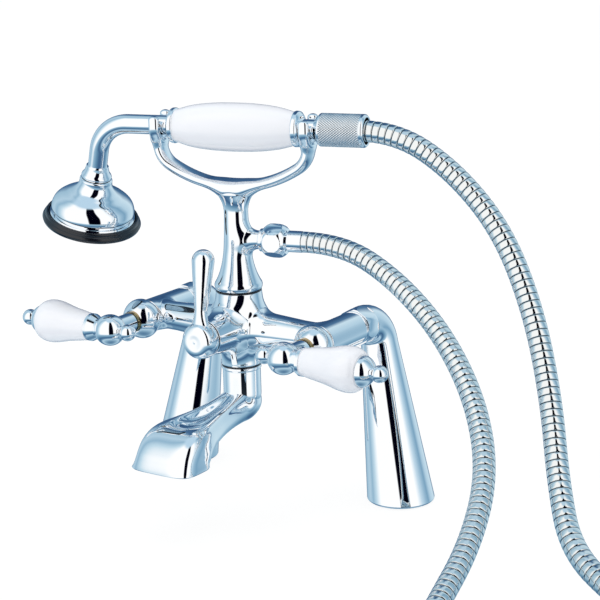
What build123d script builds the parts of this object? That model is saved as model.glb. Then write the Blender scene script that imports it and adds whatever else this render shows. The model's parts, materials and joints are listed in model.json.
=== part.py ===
# Deck-mounted bath shower mixer with porcelain levers, cradled handset and metal hose
# The origin is on the deck midway between the two legs; X runs across, the spout points to -Y.
from build123d import *
from math import atan2, cos, degrees, radians, sin, sqrt, tan
import os

os.makedirs("parts", exist_ok=True)

# Driving dimensions of the whole mixer, in millimetres and degrees
leg_spacing = 178.0
valve_spacing = 137.0
valve_height = 119.0
elbow_setback = 6.0
body_forward = 51.5
diverter_rise = 0.5
cradle_turn = 14.7
cradle_rise = 72.5
running_gap = 0.1
seat_gap = 0.15

# Legs
leg_base_radius = 22.3
leg_top_radius = 12.2
leg_base_round = 1.5
elbow_reach = 15.8
socket_radius = 9.5
socket_depth = 14.0
water_radius = 6.0

# Unions between the legs and the body
tail_neck_radius = 7.6
tail_neck_length = 1.7
tail_flange_radius = 9.2
tail_flange_length = 1.5
washer_thickness = 1.5
spigot_length = 7.0
spigot_radius = 9.4
union_flats = 23.6
union_corner_radius = 13.1
union_nut_length = 11.5
union_lip_length = 1.5
nut_end_share = 1.04

# Body casting
barrel_radius = 10.5
barrel_nose = 10.5
column_radius = 13.0
column_drop = 25.0
column_shoulder_rise = 2.0
bell_waist_radius = 16.2
bell_waist_rise = 15.0
bell_top_radius = 15.0
bell_top_rise = 24.0
bell_skirt_radius = 20.0
bell_skirt_rise = 7.0
arm_root_radius = 12.6
arm_end_radius = 9.4
arm_root_x = 12.0
arm_end_inset = 8.5
housing_root_radius = 16.0
housing_root_reach = 7.5
housing_front_radius = 11.6
housing_length = 30.0
column_bore_radius = 7.5
arm_bore_radius = 5.0
chamber_radius = 8.8
chamber_depth = 27.0
diverter_chamber_radius = 8.4
diverter_chamber_depth = 24.0
nipple_radius = 9.2
nipple_height = 8.0
spout_socket_radius = 9.6
spout_socket_depth = 9.0

# Valves
bonnet_length = 16.0
bonnet_waist_radius = 9.9
bonnet_dome_radius = 11.7
bonnet_front_radius = 7.3
bonnet_skirt_length = 5.0
bonnet_bore_radius = 7.0
bonnet_front_wall = 4.0
gland_radius = 7.0
gland_flange = 2.5
gland_shank_radius = 5.4
gland_shank_length = 3.8
spindle_radius = 3.5
disc_thickness = 2.5
fixed_disc_radius = 8.0
moving_disc_radius = 6.4
disc_port_radius = 1.7
disc_port_offset = 3.8
cartridge_wall_room = 0.3

# Lever handles
handle_reach = 39.0
hub_neck_length = 20.0
hub_neck_radius = 6.6
hub_ball_radius = 10.3
spindle_inset = 4.0
finial_radius = 5.5
finial_inset = 14.5
finial_seat_inset = 9.9
finial_boss_radius = 4.4
finial_shank_radius = 2.2
finial_shank_length = 6.0
collar_start_offset = 9.5
collar_length = 6.5
collar_waist_radius = 6.6
collar_radius = 9.1
porcelain_length = 40.8
porcelain_bulge_radius = 14.2
porcelain_end_radius = 10.6
rod_radius = 2.5
rod_start_offset = 5.5
cap_radius = 9.7
cap_length = 8.4
cap_neck_share = 0.34
cap_ball_radius = 5.3
cap_ball_reach = 12.2
cap_thread_depth = 3.0

# Diverter
knob_gap = 0.6
knob_skirt_radius = 12.0
knob_face_radius = 8.6
knob_depth = 11.4
diverter_spindle_radius = 3.0
diverter_spindle_inset = 20.0
diverter_spindle_grip = 6.4
diverter_ring_thickness = 3.0
diverter_disc_thickness = 2.4
diverter_disc_radius = 6.6
lever_root_depth = 5.6
lever_tip_setback = 1.5
lever_neck_rise = 19.5
lever_neck_radius = 4.1
lever_swell_rise = 35.5
lever_swell_radius = 5.9
lever_bulb_rise = 50.5
lever_bulb_radius = 7.3
lever_grub_radius = 1.8
lever_grub_length = 6.0

# Riser and cradle casting
riser_washer_thickness = 0.8
riser_foot_radius = 15.0
riser_foot_bead = 3.0
riser_socket_depth = 9.0
riser_hip_radius = 12.4
riser_hip_rise = 7.2
riser_waist_radius = 9.55
riser_waist_rise = 17.0
riser_low_radius = 9.2
riser_low_rise = 20.2
riser_top_radius = 7.6
riser_top_drop = 13.6
tee_rise = 10.0
tee_radius = 5.9
tee_blend = 3.5
tee_ring_radius = 7.4
tee_ring_start_u = 16.6
tee_end_u = 18.8
riser_bore_radius = 4.5
arc_drop = 37.9
arc_end_drop = 11.9
arc_corner_radius = 16.0
arc_band_depth = 15.0
arc_band_height = 7.4
grip_to_fork = 10.0
fork_thickness = 7.0
fork_outer_radius = 12.2
fork_inner_radius = 6.9
fork_tip_rise = 5.0
fork_ball_radius = 2.8
fork_ball_rise = 1.6
web_top_half_width = 19.0
web_middle_half_width = 10.5
web_middle_drop = 6.6
web_thickness = 14.0

# Hose fittings at the tee
tee_spigot_radius = 7.4
tee_spigot_length = 9.0
hose_washer_thickness = 1.5
hose_washer_bore = 4.5
hose_nut_end_u = 35.8
hose_nut_flats = 19.6
hose_nut_corner_radius = 11.0
hose_nut_lip = 4.4
sleeve_flange_thickness = 1.7
sleeve_neck_radius = 5.4
sleeve_radius = 6.9
sleeve_end_u = 45.3
sleeve_bore_radius = 4.0

# Handset
handset_roll = 10.0
neck_radius = 6.3
grip_tube_gap = 1.5
gooseneck_run = 30.6
gooseneck_bend_radius = 24.0
gooseneck_bend_angle = 76.0
gooseneck_tail = 11.5
gooseneck_bore_radius = 4.3
grip_half_length = 40.5
grip_radius = 15.5
grip_end_radius = 10.0
grip_shoulder_share = 1.05
grip_bore_radius = 5.2
grip_tube_radius = 5.0
ferrule_radius = 11.4
ferrule_length = 4.6
ferrule_lap = 2.0
knurl_setback = 5.3
knurl_length = 33.3
knurl_radius = 10.5
knurl_chamfer = 3.4
knurl_lip = 1.2
hose_recess_depth = 4.0
head_collar_length = 10.5
head_collar_top_radius = 7.4
head_collar_low_radius = 9.7
head_neck_radius = 10.9
head_neck_length = 6.5
bell_depth = 16.5
bell_rim_radius = 27.4
bell_rim_height = 5.0
bell_wall = 2.0
head_ring_radius = 32.9
head_ring_height = 8.6
rose_radius = 25.2
rose_thickness = 2.4
rose_jet_radius = 0.9
rose_ring_shares = [(0.36, 6), (0.72, 12)]

# Spout
spout_ring_radius = 13.0
spout_ring_height = 2.0
spout_washer_thickness = 1.0
spout_neck_radius = 12.5
spout_shoulder_drop = 20.0
spout_bore_radius = 6.5
outlet_width = 47.0
outlet_depth = 30.0
outlet_round = 9.0
outlet_drop = 49.0
spout_reach = 77.5
outlet_wall = 3.0
outlet_cup_depth = 9.0
straightener_thickness = 3.0
straightener_pitch = 6.0
straightener_hole_radius = 1.8

# Hose
hose_diameter = 13.5
coil_radius = 69.0
coil_gap = 0.6
coil_centre_x = 308.5
coil_centre_y = -219.0
coil_entry_angle = 214.5
upper_hose_points = [
    (142.0, -20.0, 228.0),
    (178.0, -24.0, 195.0), (206.0, -37.0, 151.0), (228.0, -57.0, 105.0),
    (246.0, -83.0, 65.0), (267.0, -109.0, 37.0), (304.0, -128.0, 24.0),
]
lower_hose_points = [
    (108.0, -34.0, 159.0),
    (148.0, -45.0, 132.0), (183.0, -66.0, 99.0), (207.0, -96.0, 67.0),
    (218.0, -137.0, 39.0), (221.0, -182.0, 18.0),
]
hose_lead = 26.0
handset_lead = 23.0
bend_share = 0.45

forward = Vector(0, -1, 0)
up = Vector(0, 0, 1)
body_centre = Vector(0, -body_forward, 0)
across = Vector(cos(radians(cradle_turn)), sin(radians(cradle_turn)), 0)
cradle_front = Vector(across.Y, -across.X, 0)
elbow_face_y = elbow_setback - elbow_reach
tail_end_y = elbow_face_y - tail_neck_length - tail_flange_length
spigot_end_y = tail_end_y - washer_thickness
spigot_root_y = spigot_end_y - spigot_length

# Places worked out from the sizes above
fork_u = grip_half_length + grip_to_fork
gooseneck_start_u = -(grip_half_length + grip_tube_gap)
gooseneck_straight_end_u = gooseneck_start_u - gooseneck_run
knurl_start_u = fork_u + knurl_setback
knurl_end_u = knurl_start_u + knurl_length
diverter_height = valve_height + diverter_rise
column_bottom_z = valve_height - column_drop
column_shoulder_z = valve_height + column_shoulder_rise
bell_skirt_z = valve_height + bell_skirt_rise
bell_waist_z = valve_height + bell_waist_rise
bell_top_z = valve_height + bell_top_rise
barrel_front_y = -body_forward - barrel_nose
arm_end_x = valve_spacing / 2 - arm_end_inset
housing_root_y = -body_forward - housing_root_reach
housing_front_y = housing_root_y - housing_length
handle_y = barrel_front_y - handle_reach
hub_neck_start_y = handle_y + hub_neck_length
spindle_end_y = handle_y + spindle_inset
finial_x = valve_spacing / 2 - finial_inset
finial_seat_x = valve_spacing / 2 - finial_seat_inset
collar_start_x = valve_spacing / 2 + collar_start_offset
collar_end_x = collar_start_x + collar_length
rod_start_x = valve_spacing / 2 + rod_start_offset
cap_ball_x = collar_end_x + porcelain_length + cap_ball_reach
knob_back_y = housing_front_y - knob_gap
knob_face_y = knob_back_y - knob_depth
diverter_spindle_back_y = housing_front_y + diverter_spindle_inset
diverter_spindle_front_y = knob_back_y - diverter_spindle_grip
lever_root_y = knob_back_y - lever_root_depth
lever_tip_y = knob_back_y + lever_tip_setback
lever_neck_z = diverter_height + lever_neck_rise
lever_swell_z = diverter_height + lever_swell_rise
lever_bulb_z = diverter_height + lever_bulb_rise
riser_bottom_z = bell_top_z + riser_washer_thickness
riser_hip_z = riser_bottom_z + riser_foot_bead + riser_hip_rise
riser_waist_z = riser_bottom_z + riser_waist_rise
riser_low_z = riser_bottom_z + riser_low_rise + riser_foot_bead
tee_height = riser_low_z + tee_rise
handset_height = tee_height + cradle_rise
arc_low_z = handset_height - arc_drop
riser_top_z = arc_low_z - riser_top_drop
web_middle_z = arc_low_z - web_middle_drop
fork_tip_z = handset_height + fork_tip_rise
spout_shoulder_z = column_bottom_z - spout_shoulder_drop
outlet_z = column_bottom_z - outlet_drop
outlet_y = -body_forward - spout_reach


def lathe(origin, along, out):
    """Drawing plane with the radius on its x axis and the turning axis on its y axis."""
    return Plane(origin=origin, x_dir=out, z_dir=out.cross(along))


def drawn_face(plane, *stretches):
    """Closed face; each stretch is straight, smooth or an arc, and has the points it passes."""
    with BuildSketch(plane) as face:
        with BuildLine():
            for kind, points in stretches:
                if kind == "smooth":
                    Spline(*points)
                elif kind == "arc":
                    ThreePointArc(*points)
                else:
                    Polyline(*points)
        make_face()
    return face.sketch


def turned_face(plane, points):
    """Closed face with straight sides between (radius, distance) points."""
    with BuildSketch(plane) as face:
        with BuildLine():
            Polyline(*points, close=True)
        make_face()
    return face.sketch


def turning_axis(plane):
    """Axis that a lathe plane's faces are turned about."""
    return Axis(plane.origin, plane.y_dir)


def facing(origin, direction):
    """Plane at a point, square to a direction."""
    return Plane(origin=origin, z_dir=direction)


def save(name, part):
    """Label a finished piece and write it under its name."""
    part.label = name
    export_step(part, f"parts/{name}.step")


def y_point(x, y, z=valve_height):
    """Point at the valves' height unless another is given."""
    return Vector(x, y, z)


def build_leg(side):
    """Leaning cone, bent forward at its top, with the supply socket and the waterway."""
    base = Vector(side * leg_spacing / 2, 0, 0)
    corner = Vector(side * valve_spacing / 2, elbow_setback, valve_height)
    rise = (corner - base).normalized()
    bend_angle = rise.get_angle(forward)
    bend_radius = elbow_reach / tan(radians(bend_angle) / 2)
    bend_start = corner - rise * elbow_reach
    cone_length = (bend_start - base).length
    taper = (leg_base_radius - leg_top_radius) / cone_length
    foot_drop = leg_base_radius / 3
    inward = (forward - rise * rise.dot(forward)).normalized()
    bend_axis = Axis(bend_start + inward * bend_radius, rise.cross(inward))
    face = Vector(corner.X, elbow_face_y, valve_height)
    tail_plane = lathe(face, forward, Vector(side, 0, 0))
    tail_length = tail_neck_length + tail_flange_length
    tail = [
        (0, 0),
        (tail_neck_radius, 0),
        (tail_neck_radius, tail_neck_length),
        (tail_flange_radius, tail_neck_length),
        (tail_flange_radius, tail_length),
        (0, tail_length),
    ]
    with BuildPart() as leg:
        with Locations(facing(base - rise * foot_drop, rise)):
            Cone(
                leg_base_radius + taper * foot_drop,
                leg_top_radius,
                cone_length + foot_drop,
                align=(Align.CENTER, Align.CENTER, Align.MIN),
            )
        split(bisect_by=Plane.XY, keep=Keep.TOP)
        fillet(leg.edges().group_by(Axis.Z)[0], leg_base_round)
        with BuildSketch(Plane(origin=bend_start, x_dir=inward, z_dir=rise)):
            Circle(leg_top_radius)
        revolve(axis=bend_axis, revolution_arc=bend_angle)
        revolve(turned_face(tail_plane, tail), axis=turning_axis(tail_plane))
        with BuildSketch(Plane(origin=bend_start, x_dir=inward, z_dir=rise)):
            Circle(water_radius)
        revolve(axis=bend_axis, revolution_arc=bend_angle, mode=Mode.SUBTRACT)
        with Locations(facing(face, forward)):
            Cylinder(
                water_radius,
                tail_length,
                align=(Align.CENTER, Align.CENTER, Align.MIN),
                mode=Mode.SUBTRACT,
            )
        with Locations(facing(bend_start, -rise)):
            Cylinder(
                water_radius,
                cone_length,
                align=(Align.CENTER, Align.CENTER, Align.MIN),
                mode=Mode.SUBTRACT,
            )
        with Locations(base):
            Cylinder(
                socket_radius,
                socket_depth,
                align=(Align.CENTER, Align.CENTER, Align.MIN),
                mode=Mode.SUBTRACT,
            )
    return leg.part


def build_union_washer(side):
    """Flat ring between the leg's flange and the body's spigot."""
    with BuildPart() as washer:
        with BuildSketch(facing(y_point(side * valve_spacing / 2, tail_end_y), forward)):
            Circle(tail_flange_radius)
            Circle(water_radius, mode=Mode.SUBTRACT)
        extrude(amount=washer_thickness)
    return washer.part


def barrelled_nut(start, direction, out, length, flats, corner_radius):
    """Hexagon and the barrel outline that rounds its corners, with the nut's axis."""
    plane = lathe(start, direction, out)
    edge_radius = flats / 2 * nut_end_share
    outline = drawn_face(
        plane,
        ("straight", [(0, 0), (edge_radius, 0)]),
        ("smooth", [(edge_radius, 0), (corner_radius, length / 2), (edge_radius, length)]),
        ("straight", [(edge_radius, length), (0, length), (0, 0)]),
    )
    with BuildSketch(Plane(origin=start, x_dir=out, z_dir=direction)) as hexagon:
        RegularPolygon(flats / 2, side_count=6, major_radius=False)
    return hexagon.sketch, outline, turning_axis(plane)


def build_union_nut(side):
    """Hexagon nut that draws the leg's flange onto the body's spigot."""
    start = y_point(side * valve_spacing / 2, elbow_face_y - running_gap)
    hexagon, outline, axis = barrelled_nut(
        start, forward, up, union_nut_length, union_flats, union_corner_radius
    )
    lip_end = union_lip_length
    bore = [
        (0, 0),
        (tail_neck_radius + seat_gap, 0),
        (tail_neck_radius + seat_gap, lip_end),
        (spigot_radius + seat_gap, lip_end),
        (spigot_radius + seat_gap, union_nut_length),
        (0, union_nut_length),
    ]
    plane = lathe(start, forward, up)
    with BuildPart() as nut:
        extrude(hexagon, amount=union_nut_length)
        revolve(outline, axis=axis, mode=Mode.INTERSECT)
        revolve(turned_face(plane, bore), axis=axis, mode=Mode.SUBTRACT)
    return nut.part


def build_body():
    """Cast body: bell, two arms, two valve barrels with spigots and the diverter housing."""
    bell_plane = lathe(body_centre, up, Vector(1, 0, 0))
    bell = drawn_face(
        bell_plane,
        ("straight", [(0, bell_top_z), (0, column_bottom_z), (column_radius, column_bottom_z)]),
        ("straight", [(column_radius, column_bottom_z), (column_radius, column_shoulder_z)]),
        ("straight", [(column_radius, column_shoulder_z), (bell_skirt_radius, bell_skirt_z)]),
        (
            "smooth",
            [
                (bell_skirt_radius, bell_skirt_z),
                (bell_waist_radius, bell_waist_z),
                (bell_top_radius, bell_top_z),
            ],
        ),
        ("straight", [(bell_top_radius, bell_top_z), (0, bell_top_z)]),
    )
    barrel_length = spigot_root_y - barrel_front_y
    chamber_floor_y = barrel_front_y + chamber_depth
    arm_centre = Vector(0, -body_forward, valve_height)
    with BuildPart() as body:
        revolve(bell, axis=turning_axis(bell_plane))
        with Locations(Vector(0, -body_forward, bell_top_z)):
            Cylinder(nipple_radius, nipple_height, align=(Align.CENTER, Align.CENTER, Align.MIN))
        with Locations(facing(Vector(0, housing_root_y, diverter_height), forward)):
            Cone(
                housing_root_radius,
                housing_front_radius,
                housing_length,
                align=(Align.CENTER, Align.CENTER, Align.MIN),
            )
        for side in (-1, 1):
            outward = Vector(side, 0, 0)
            with Locations(facing(arm_centre + outward * arm_root_x, outward)):
                Cone(
                    arm_root_radius,
                    arm_end_radius,
                    arm_end_x - arm_root_x,
                    align=(Align.CENTER, Align.CENTER, Align.MIN),
                )
            with Locations(facing(y_point(side * valve_spacing / 2, spigot_root_y), forward)):
                Cylinder(barrel_radius, barrel_length, align=(Align.CENTER, Align.CENTER, Align.MIN))
            with Locations(facing(y_point(side * valve_spacing / 2, spigot_end_y), forward)):
                Cylinder(
                    spigot_radius,
                    spigot_length,
                    align=(Align.CENTER, Align.CENTER, Align.MIN),
                )
        for side in (-1, 1):
            outward = Vector(side, 0, 0)
            with Locations(facing(arm_centre, outward)):
                Cylinder(
                    arm_bore_radius,
                    valve_spacing / 2,
                    align=(Align.CENTER, Align.CENTER, Align.MIN),
                    mode=Mode.SUBTRACT,
                )
            with Locations(facing(y_point(side * valve_spacing / 2, spigot_end_y), forward)):
                Cylinder(
                    water_radius,
                    spigot_end_y - chamber_floor_y,
                    align=(Align.CENTER, Align.CENTER, Align.MIN),
                    mode=Mode.SUBTRACT,
                )
            with Locations(facing(y_point(side * valve_spacing / 2, chamber_floor_y), forward)):
                Cylinder(
                    chamber_radius,
                    chamber_depth,
                    align=(Align.CENTER, Align.CENTER, Align.MIN),
                    mode=Mode.SUBTRACT,
                )
        with Locations(Vector(0, -body_forward, column_bottom_z)):
            Cylinder(
                column_bore_radius,
                bell_top_z + nipple_height - column_bottom_z,
                align=(Align.CENTER, Align.CENTER, Align.MIN),
                mode=Mode.SUBTRACT,
            )
            Cylinder(
                spout_socket_radius,
                spout_socket_depth,
                align=(Align.CENTER, Align.CENTER, Align.MIN),
                mode=Mode.SUBTRACT,
            )
        with Locations(facing(Vector(0, housing_front_y, diverter_height), -forward)):
            Cylinder(
                diverter_chamber_radius,
                diverter_chamber_depth,
                align=(Align.CENTER, Align.CENTER, Align.MIN),
                mode=Mode.SUBTRACT,
            )
    return body.part


def valve_plane(side):
    """Lathe plane on a valve's axis, measured forward from the barrel's front face."""
    return lathe(y_point(side * valve_spacing / 2, barrel_front_y), forward, up)


def build_bonnet(side):
    """Domed cover that screws into the barrel and holds the cartridge down."""
    plane = valve_plane(side)
    skirt_radius = chamber_radius - running_gap
    shank_room = gland_shank_radius + running_gap
    inner_length = bonnet_length - bonnet_front_wall
    outside = drawn_face(
        plane,
        (
            "straight",
            [
                (bonnet_bore_radius, -bonnet_skirt_length),
                (skirt_radius, -bonnet_skirt_length),
                (skirt_radius, 0),
                (bonnet_waist_radius, 0),
            ],
        ),
        (
            "smooth",
            [
                (bonnet_waist_radius, 0),
                (bonnet_dome_radius * 0.96, bonnet_length * 0.24),
                (bonnet_dome_radius, bonnet_length * 0.42),
                (bonnet_dome_radius * 0.86, bonnet_length * 0.78),
                (bonnet_front_radius, bonnet_length),
            ],
        ),
        (
            "straight",
            [
                (bonnet_front_radius, bonnet_length),
                (shank_room, bonnet_length),
                (shank_room, inner_length),
                (bonnet_bore_radius, inner_length),
                (bonnet_bore_radius, -bonnet_skirt_length),
            ],
        ),
    )
    with BuildPart() as bonnet:
        revolve(outside, axis=turning_axis(plane))
    return bonnet.part


def build_cartridge(side):
    """Brass sleeve that carries the spindle and presses on the fixed disc."""
    plane = valve_plane(side)
    back = disc_thickness - chamber_depth
    pocket = back + disc_thickness + cartridge_wall_room
    step = -bonnet_skirt_length - running_gap
    front = bonnet_length - bonnet_front_wall - running_gap
    bore = spindle_radius + running_gap
    wide = chamber_radius - running_gap
    slim = bonnet_bore_radius - running_gap
    profile = [
        (moving_disc_radius + cartridge_wall_room, back),
        (wide, back),
        (wide, step),
        (slim, step),
        (slim, front),
        (bore, front),
        (bore, pocket),
        (moving_disc_radius + cartridge_wall_room, pocket),
    ]
    with BuildPart() as cartridge:
        revolve(turned_face(plane, profile), axis=turning_axis(plane))
    return cartridge.part


def build_disc(side, back_depth, radius):
    """Ceramic disc with two ports, measured back from the barrel's front face."""
    origin = y_point(side * valve_spacing / 2, barrel_front_y + back_depth)
    with BuildPart() as disc:
        with BuildSketch(Plane(origin=origin, x_dir=Vector(1, 0, 0), z_dir=forward)):
            Circle(radius)
            with Locations((0, disc_port_offset), (0, -disc_port_offset)):
                Circle(disc_port_radius, mode=Mode.SUBTRACT)
        extrude(amount=disc_thickness)
    return disc.part


def build_gland(side):
    """Brass ring at the bonnet's mouth that guides the spindle."""
    plane = valve_plane(side)
    bore = spindle_radius + running_gap
    start = bonnet_length - gland_shank_length
    end = bonnet_length + gland_flange
    profile = [
        (bore, start),
        (gland_shank_radius, start),
        (gland_shank_radius, bonnet_length),
        (gland_radius, bonnet_length),
        (gland_radius, end),
        (bore, end),
    ]
    with BuildPart() as gland:
        revolve(turned_face(plane, profile), axis=turning_axis(plane))
    return gland.part


def build_spindle(side):
    """Brass rod from the moving disc to the lever's hub."""
    start_y = barrel_front_y + chamber_depth - 2 * disc_thickness
    with BuildPart() as spindle:
        with Locations(facing(y_point(side * valve_spacing / 2, start_y), forward)):
            Cylinder(
                spindle_radius,
                start_y - spindle_end_y,
                align=(Align.CENTER, Align.CENTER, Align.MIN),
            )
    return spindle.part


def lever_plane(side):
    """Lathe plane on a lever's axis, measured outwards from the mixer's middle."""
    return lathe(Vector(0, handle_y, valve_height), Vector(side, 0, 0), up)


def build_hub(side):
    """Ball hub with its neck, the finial's boss and the flared collar."""
    plane = lever_plane(side)
    centre_x = valve_spacing / 2
    outward = Vector(side, 0, 0)
    boss_x = centre_x - sqrt(hub_ball_radius**2 - finial_boss_radius**2)
    waist_x = centre_x + sqrt(hub_ball_radius**2 - collar_waist_radius**2)
    flare_x = (collar_start_x * 2 + collar_end_x) / 3
    flange_x = (collar_start_x + collar_end_x * 2) / 3
    ball = [(finial_boss_radius, boss_x), (hub_ball_radius, centre_x), (collar_waist_radius, waist_x)]
    flare = [
        (collar_waist_radius, collar_start_x),
        ((collar_waist_radius + collar_radius) / 2, flare_x),
        (collar_radius, flange_x),
    ]
    outline = drawn_face(
        plane,
        ("straight", [(0, finial_seat_x), (finial_boss_radius, finial_seat_x), ball[0]]),
        ("arc", ball),
        ("straight", [ball[-1], flare[0]]),
        ("smooth", flare),
        ("straight", [flare[-1], (collar_radius, collar_end_x), (0, collar_end_x), (0, finial_seat_x)]),
    )
    with BuildPart() as hub:
        revolve(outline, axis=turning_axis(plane))
        with Locations(facing(y_point(side * centre_x, hub_neck_start_y), forward)):
            Cylinder(
                hub_neck_radius,
                hub_neck_length,
                align=(Align.CENTER, Align.CENTER, Align.MIN),
            )
        with Locations(facing(y_point(side * centre_x, hub_neck_start_y), forward)):
            Cylinder(
                spindle_radius + running_gap / 2,
                hub_neck_start_y - spindle_end_y,
                align=(Align.CENTER, Align.CENTER, Align.MIN),
                mode=Mode.SUBTRACT,
            )
        with Locations(facing(y_point(side * finial_seat_x, handle_y), outward)):
            Cylinder(
                finial_shank_radius + running_gap / 2,
                finial_shank_length,
                align=(Align.CENTER, Align.CENTER, Align.MIN),
                mode=Mode.SUBTRACT,
            )
        with Locations(facing(y_point(side * collar_end_x, handle_y), -outward)):
            Cylinder(
                rod_radius + running_gap / 2,
                collar_end_x - rod_start_x,
                align=(Align.CENTER, Align.CENTER, Align.MIN),
                mode=Mode.SUBTRACT,
            )
    return hub.part


def build_finial(side):
    """Small ball-headed screw in the hub's inner side."""
    plane = lever_plane(side)
    ball_start = finial_x - finial_radius
    seat_radius = sqrt(finial_radius**2 - (finial_seat_x - finial_x) ** 2)
    shank_end = finial_seat_x + finial_shank_length
    outline = drawn_face(
        plane,
        ("arc", [(0, ball_start), (finial_radius, finial_x), (seat_radius, finial_seat_x)]),
        (
            "straight",
            [
                (seat_radius, finial_seat_x),
                (finial_shank_radius, finial_seat_x),
                (finial_shank_radius, shank_end),
                (0, shank_end),
                (0, ball_start),
            ],
        ),
    )
    with BuildPart() as finial:
        revolve(outline, axis=turning_axis(plane))
    return finial.part


def build_porcelain(side):
    """Porcelain lever: slim at the collar, swelling to a rounded end, bored for its rod."""
    plane = lever_plane(side)
    start = collar_end_x
    end = collar_end_x + porcelain_length
    bore = rod_radius + running_gap
    skin = drawn_face(
        plane,
        ("straight", [(bore, start), (collar_radius * 0.95, start)]),
        (
            "smooth",
            [
                (collar_radius * 0.95, start),
                (collar_radius * 1.04, start + porcelain_length * 0.10),
                (porcelain_bulge_radius * 0.83, start + porcelain_length * 0.45),
                (porcelain_bulge_radius, start + porcelain_length * 0.77),
                (porcelain_bulge_radius * 0.93, start + porcelain_length * 0.92),
                (porcelain_end_radius, end),
            ],
        ),
        ("straight", [(porcelain_end_radius, end), (bore, end), (bore, start)]),
    )
    with BuildPart() as porcelain:
        revolve(skin, axis=turning_axis(plane))
    return porcelain.part


def build_rod(side):
    """Steel rod that ties the porcelain lever to its hub."""
    end = collar_end_x + porcelain_length + cap_thread_depth
    with BuildPart() as rod:
        with Locations(facing(y_point(side * rod_start_x, handle_y), Vector(side, 0, 0))):
            Cylinder(rod_radius, end - rod_start_x, align=(Align.CENTER, Align.CENTER, Align.MIN))
    return rod.part


def build_end_cap(side):
    """Domed cap with a ball, screwed onto the rod's end."""
    plane = lever_plane(side)
    start = collar_end_x + porcelain_length
    screw = rod_radius + running_gap / 2
    neck = cap_radius * cap_neck_share
    neck_x = cap_ball_x - sqrt(cap_ball_radius**2 - neck**2)
    dome = [
        (cap_radius, start),
        (cap_radius * 0.94, start + cap_length * 0.35),
        (cap_radius * 0.68, start + cap_length * 0.72),
        (neck, neck_x),
    ]
    tip = (0, cap_ball_x + cap_ball_radius)
    outline = drawn_face(
        plane,
        ("straight", [(0, start + cap_thread_depth), (screw, start + cap_thread_depth)]),
        ("straight", [(screw, start + cap_thread_depth), (screw, start), (cap_radius, start)]),
        ("smooth", dome),
        ("arc", [dome[-1], (cap_ball_radius, cap_ball_x), tip]),
        ("straight", [tip, (0, start + cap_thread_depth)]),
    )
    with BuildPart() as cap:
        revolve(outline, axis=turning_axis(plane))
    return cap.part


for side, side_name in ((-1, "left"), (1, "right")):
    save(f"{side_name}_leg", build_leg(side))
    save(f"{side_name}_union_washer", build_union_washer(side))
    save(f"{side_name}_union_nut", build_union_nut(side))
    save(f"{side_name}_valve_bonnet", build_bonnet(side))
    save(f"{side_name}_cartridge", build_cartridge(side))
    save(f"{side_name}_fixed_disc", build_disc(side, chamber_depth, fixed_disc_radius))
    moving_depth = chamber_depth - disc_thickness
    save(f"{side_name}_moving_disc", build_disc(side, moving_depth, moving_disc_radius))
    save(f"{side_name}_gland_nut", build_gland(side))
    save(f"{side_name}_spindle", build_spindle(side))
    save(f"{side_name}_lever_hub", build_hub(side))
    save(f"{side_name}_finial_screw", build_finial(side))
    save(f"{side_name}_porcelain_lever", build_porcelain(side))
    save(f"{side_name}_lever_rod", build_rod(side))
    save(f"{side_name}_end_cap", build_end_cap(side))
save("mixer_body", build_body())

# Diverter: sleeve, ring, spindle, disc, knob with its lever, and the grub screw
diverter_plane = lathe(Vector(0, housing_front_y, diverter_height), -forward, up)
diverter_sleeve_radius = diverter_chamber_radius - running_gap
diverter_bore = diverter_spindle_radius + running_gap
disc_front_depth = diverter_spindle_back_y - housing_front_y
disc_back_depth = disc_front_depth + diverter_disc_thickness
sleeve_profile = [
    (diverter_bore, diverter_ring_thickness),
    (diverter_sleeve_radius, diverter_ring_thickness),
    (diverter_sleeve_radius, diverter_chamber_depth),
    (diverter_disc_radius + cartridge_wall_room, diverter_chamber_depth),
    (diverter_disc_radius + cartridge_wall_room, disc_front_depth - cartridge_wall_room),
    (diverter_bore, disc_front_depth - cartridge_wall_room),
]
with BuildPart() as diverter_cartridge:
    revolve(turned_face(diverter_plane, sleeve_profile), axis=turning_axis(diverter_plane))
save("diverter_cartridge", diverter_cartridge.part)

with BuildPart() as diverter_ring:
    with BuildSketch(facing(Vector(0, housing_front_y, diverter_height), -forward)):
        Circle(diverter_sleeve_radius)
        Circle(diverter_bore, mode=Mode.SUBTRACT)
    extrude(amount=diverter_ring_thickness)
save("diverter_retaining_ring", diverter_ring.part)

with BuildPart() as diverter_spindle:
    with Locations(facing(Vector(0, diverter_spindle_back_y, diverter_height), forward)):
        Cylinder(
            diverter_spindle_radius,
            diverter_spindle_back_y - diverter_spindle_front_y,
            align=(Align.CENTER, Align.CENTER, Align.MIN),
        )
save("diverter_spindle", diverter_spindle.part)

with BuildPart() as diverter_disc:
    with BuildSketch(facing(Vector(0, diverter_spindle_back_y, diverter_height), -forward)):
        Circle(diverter_disc_radius)
        with Locations((0, disc_port_offset)):
            Circle(disc_port_radius, mode=Mode.SUBTRACT)
    extrude(amount=diverter_disc_thickness)
save("diverter_disc", diverter_disc.part)

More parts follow.
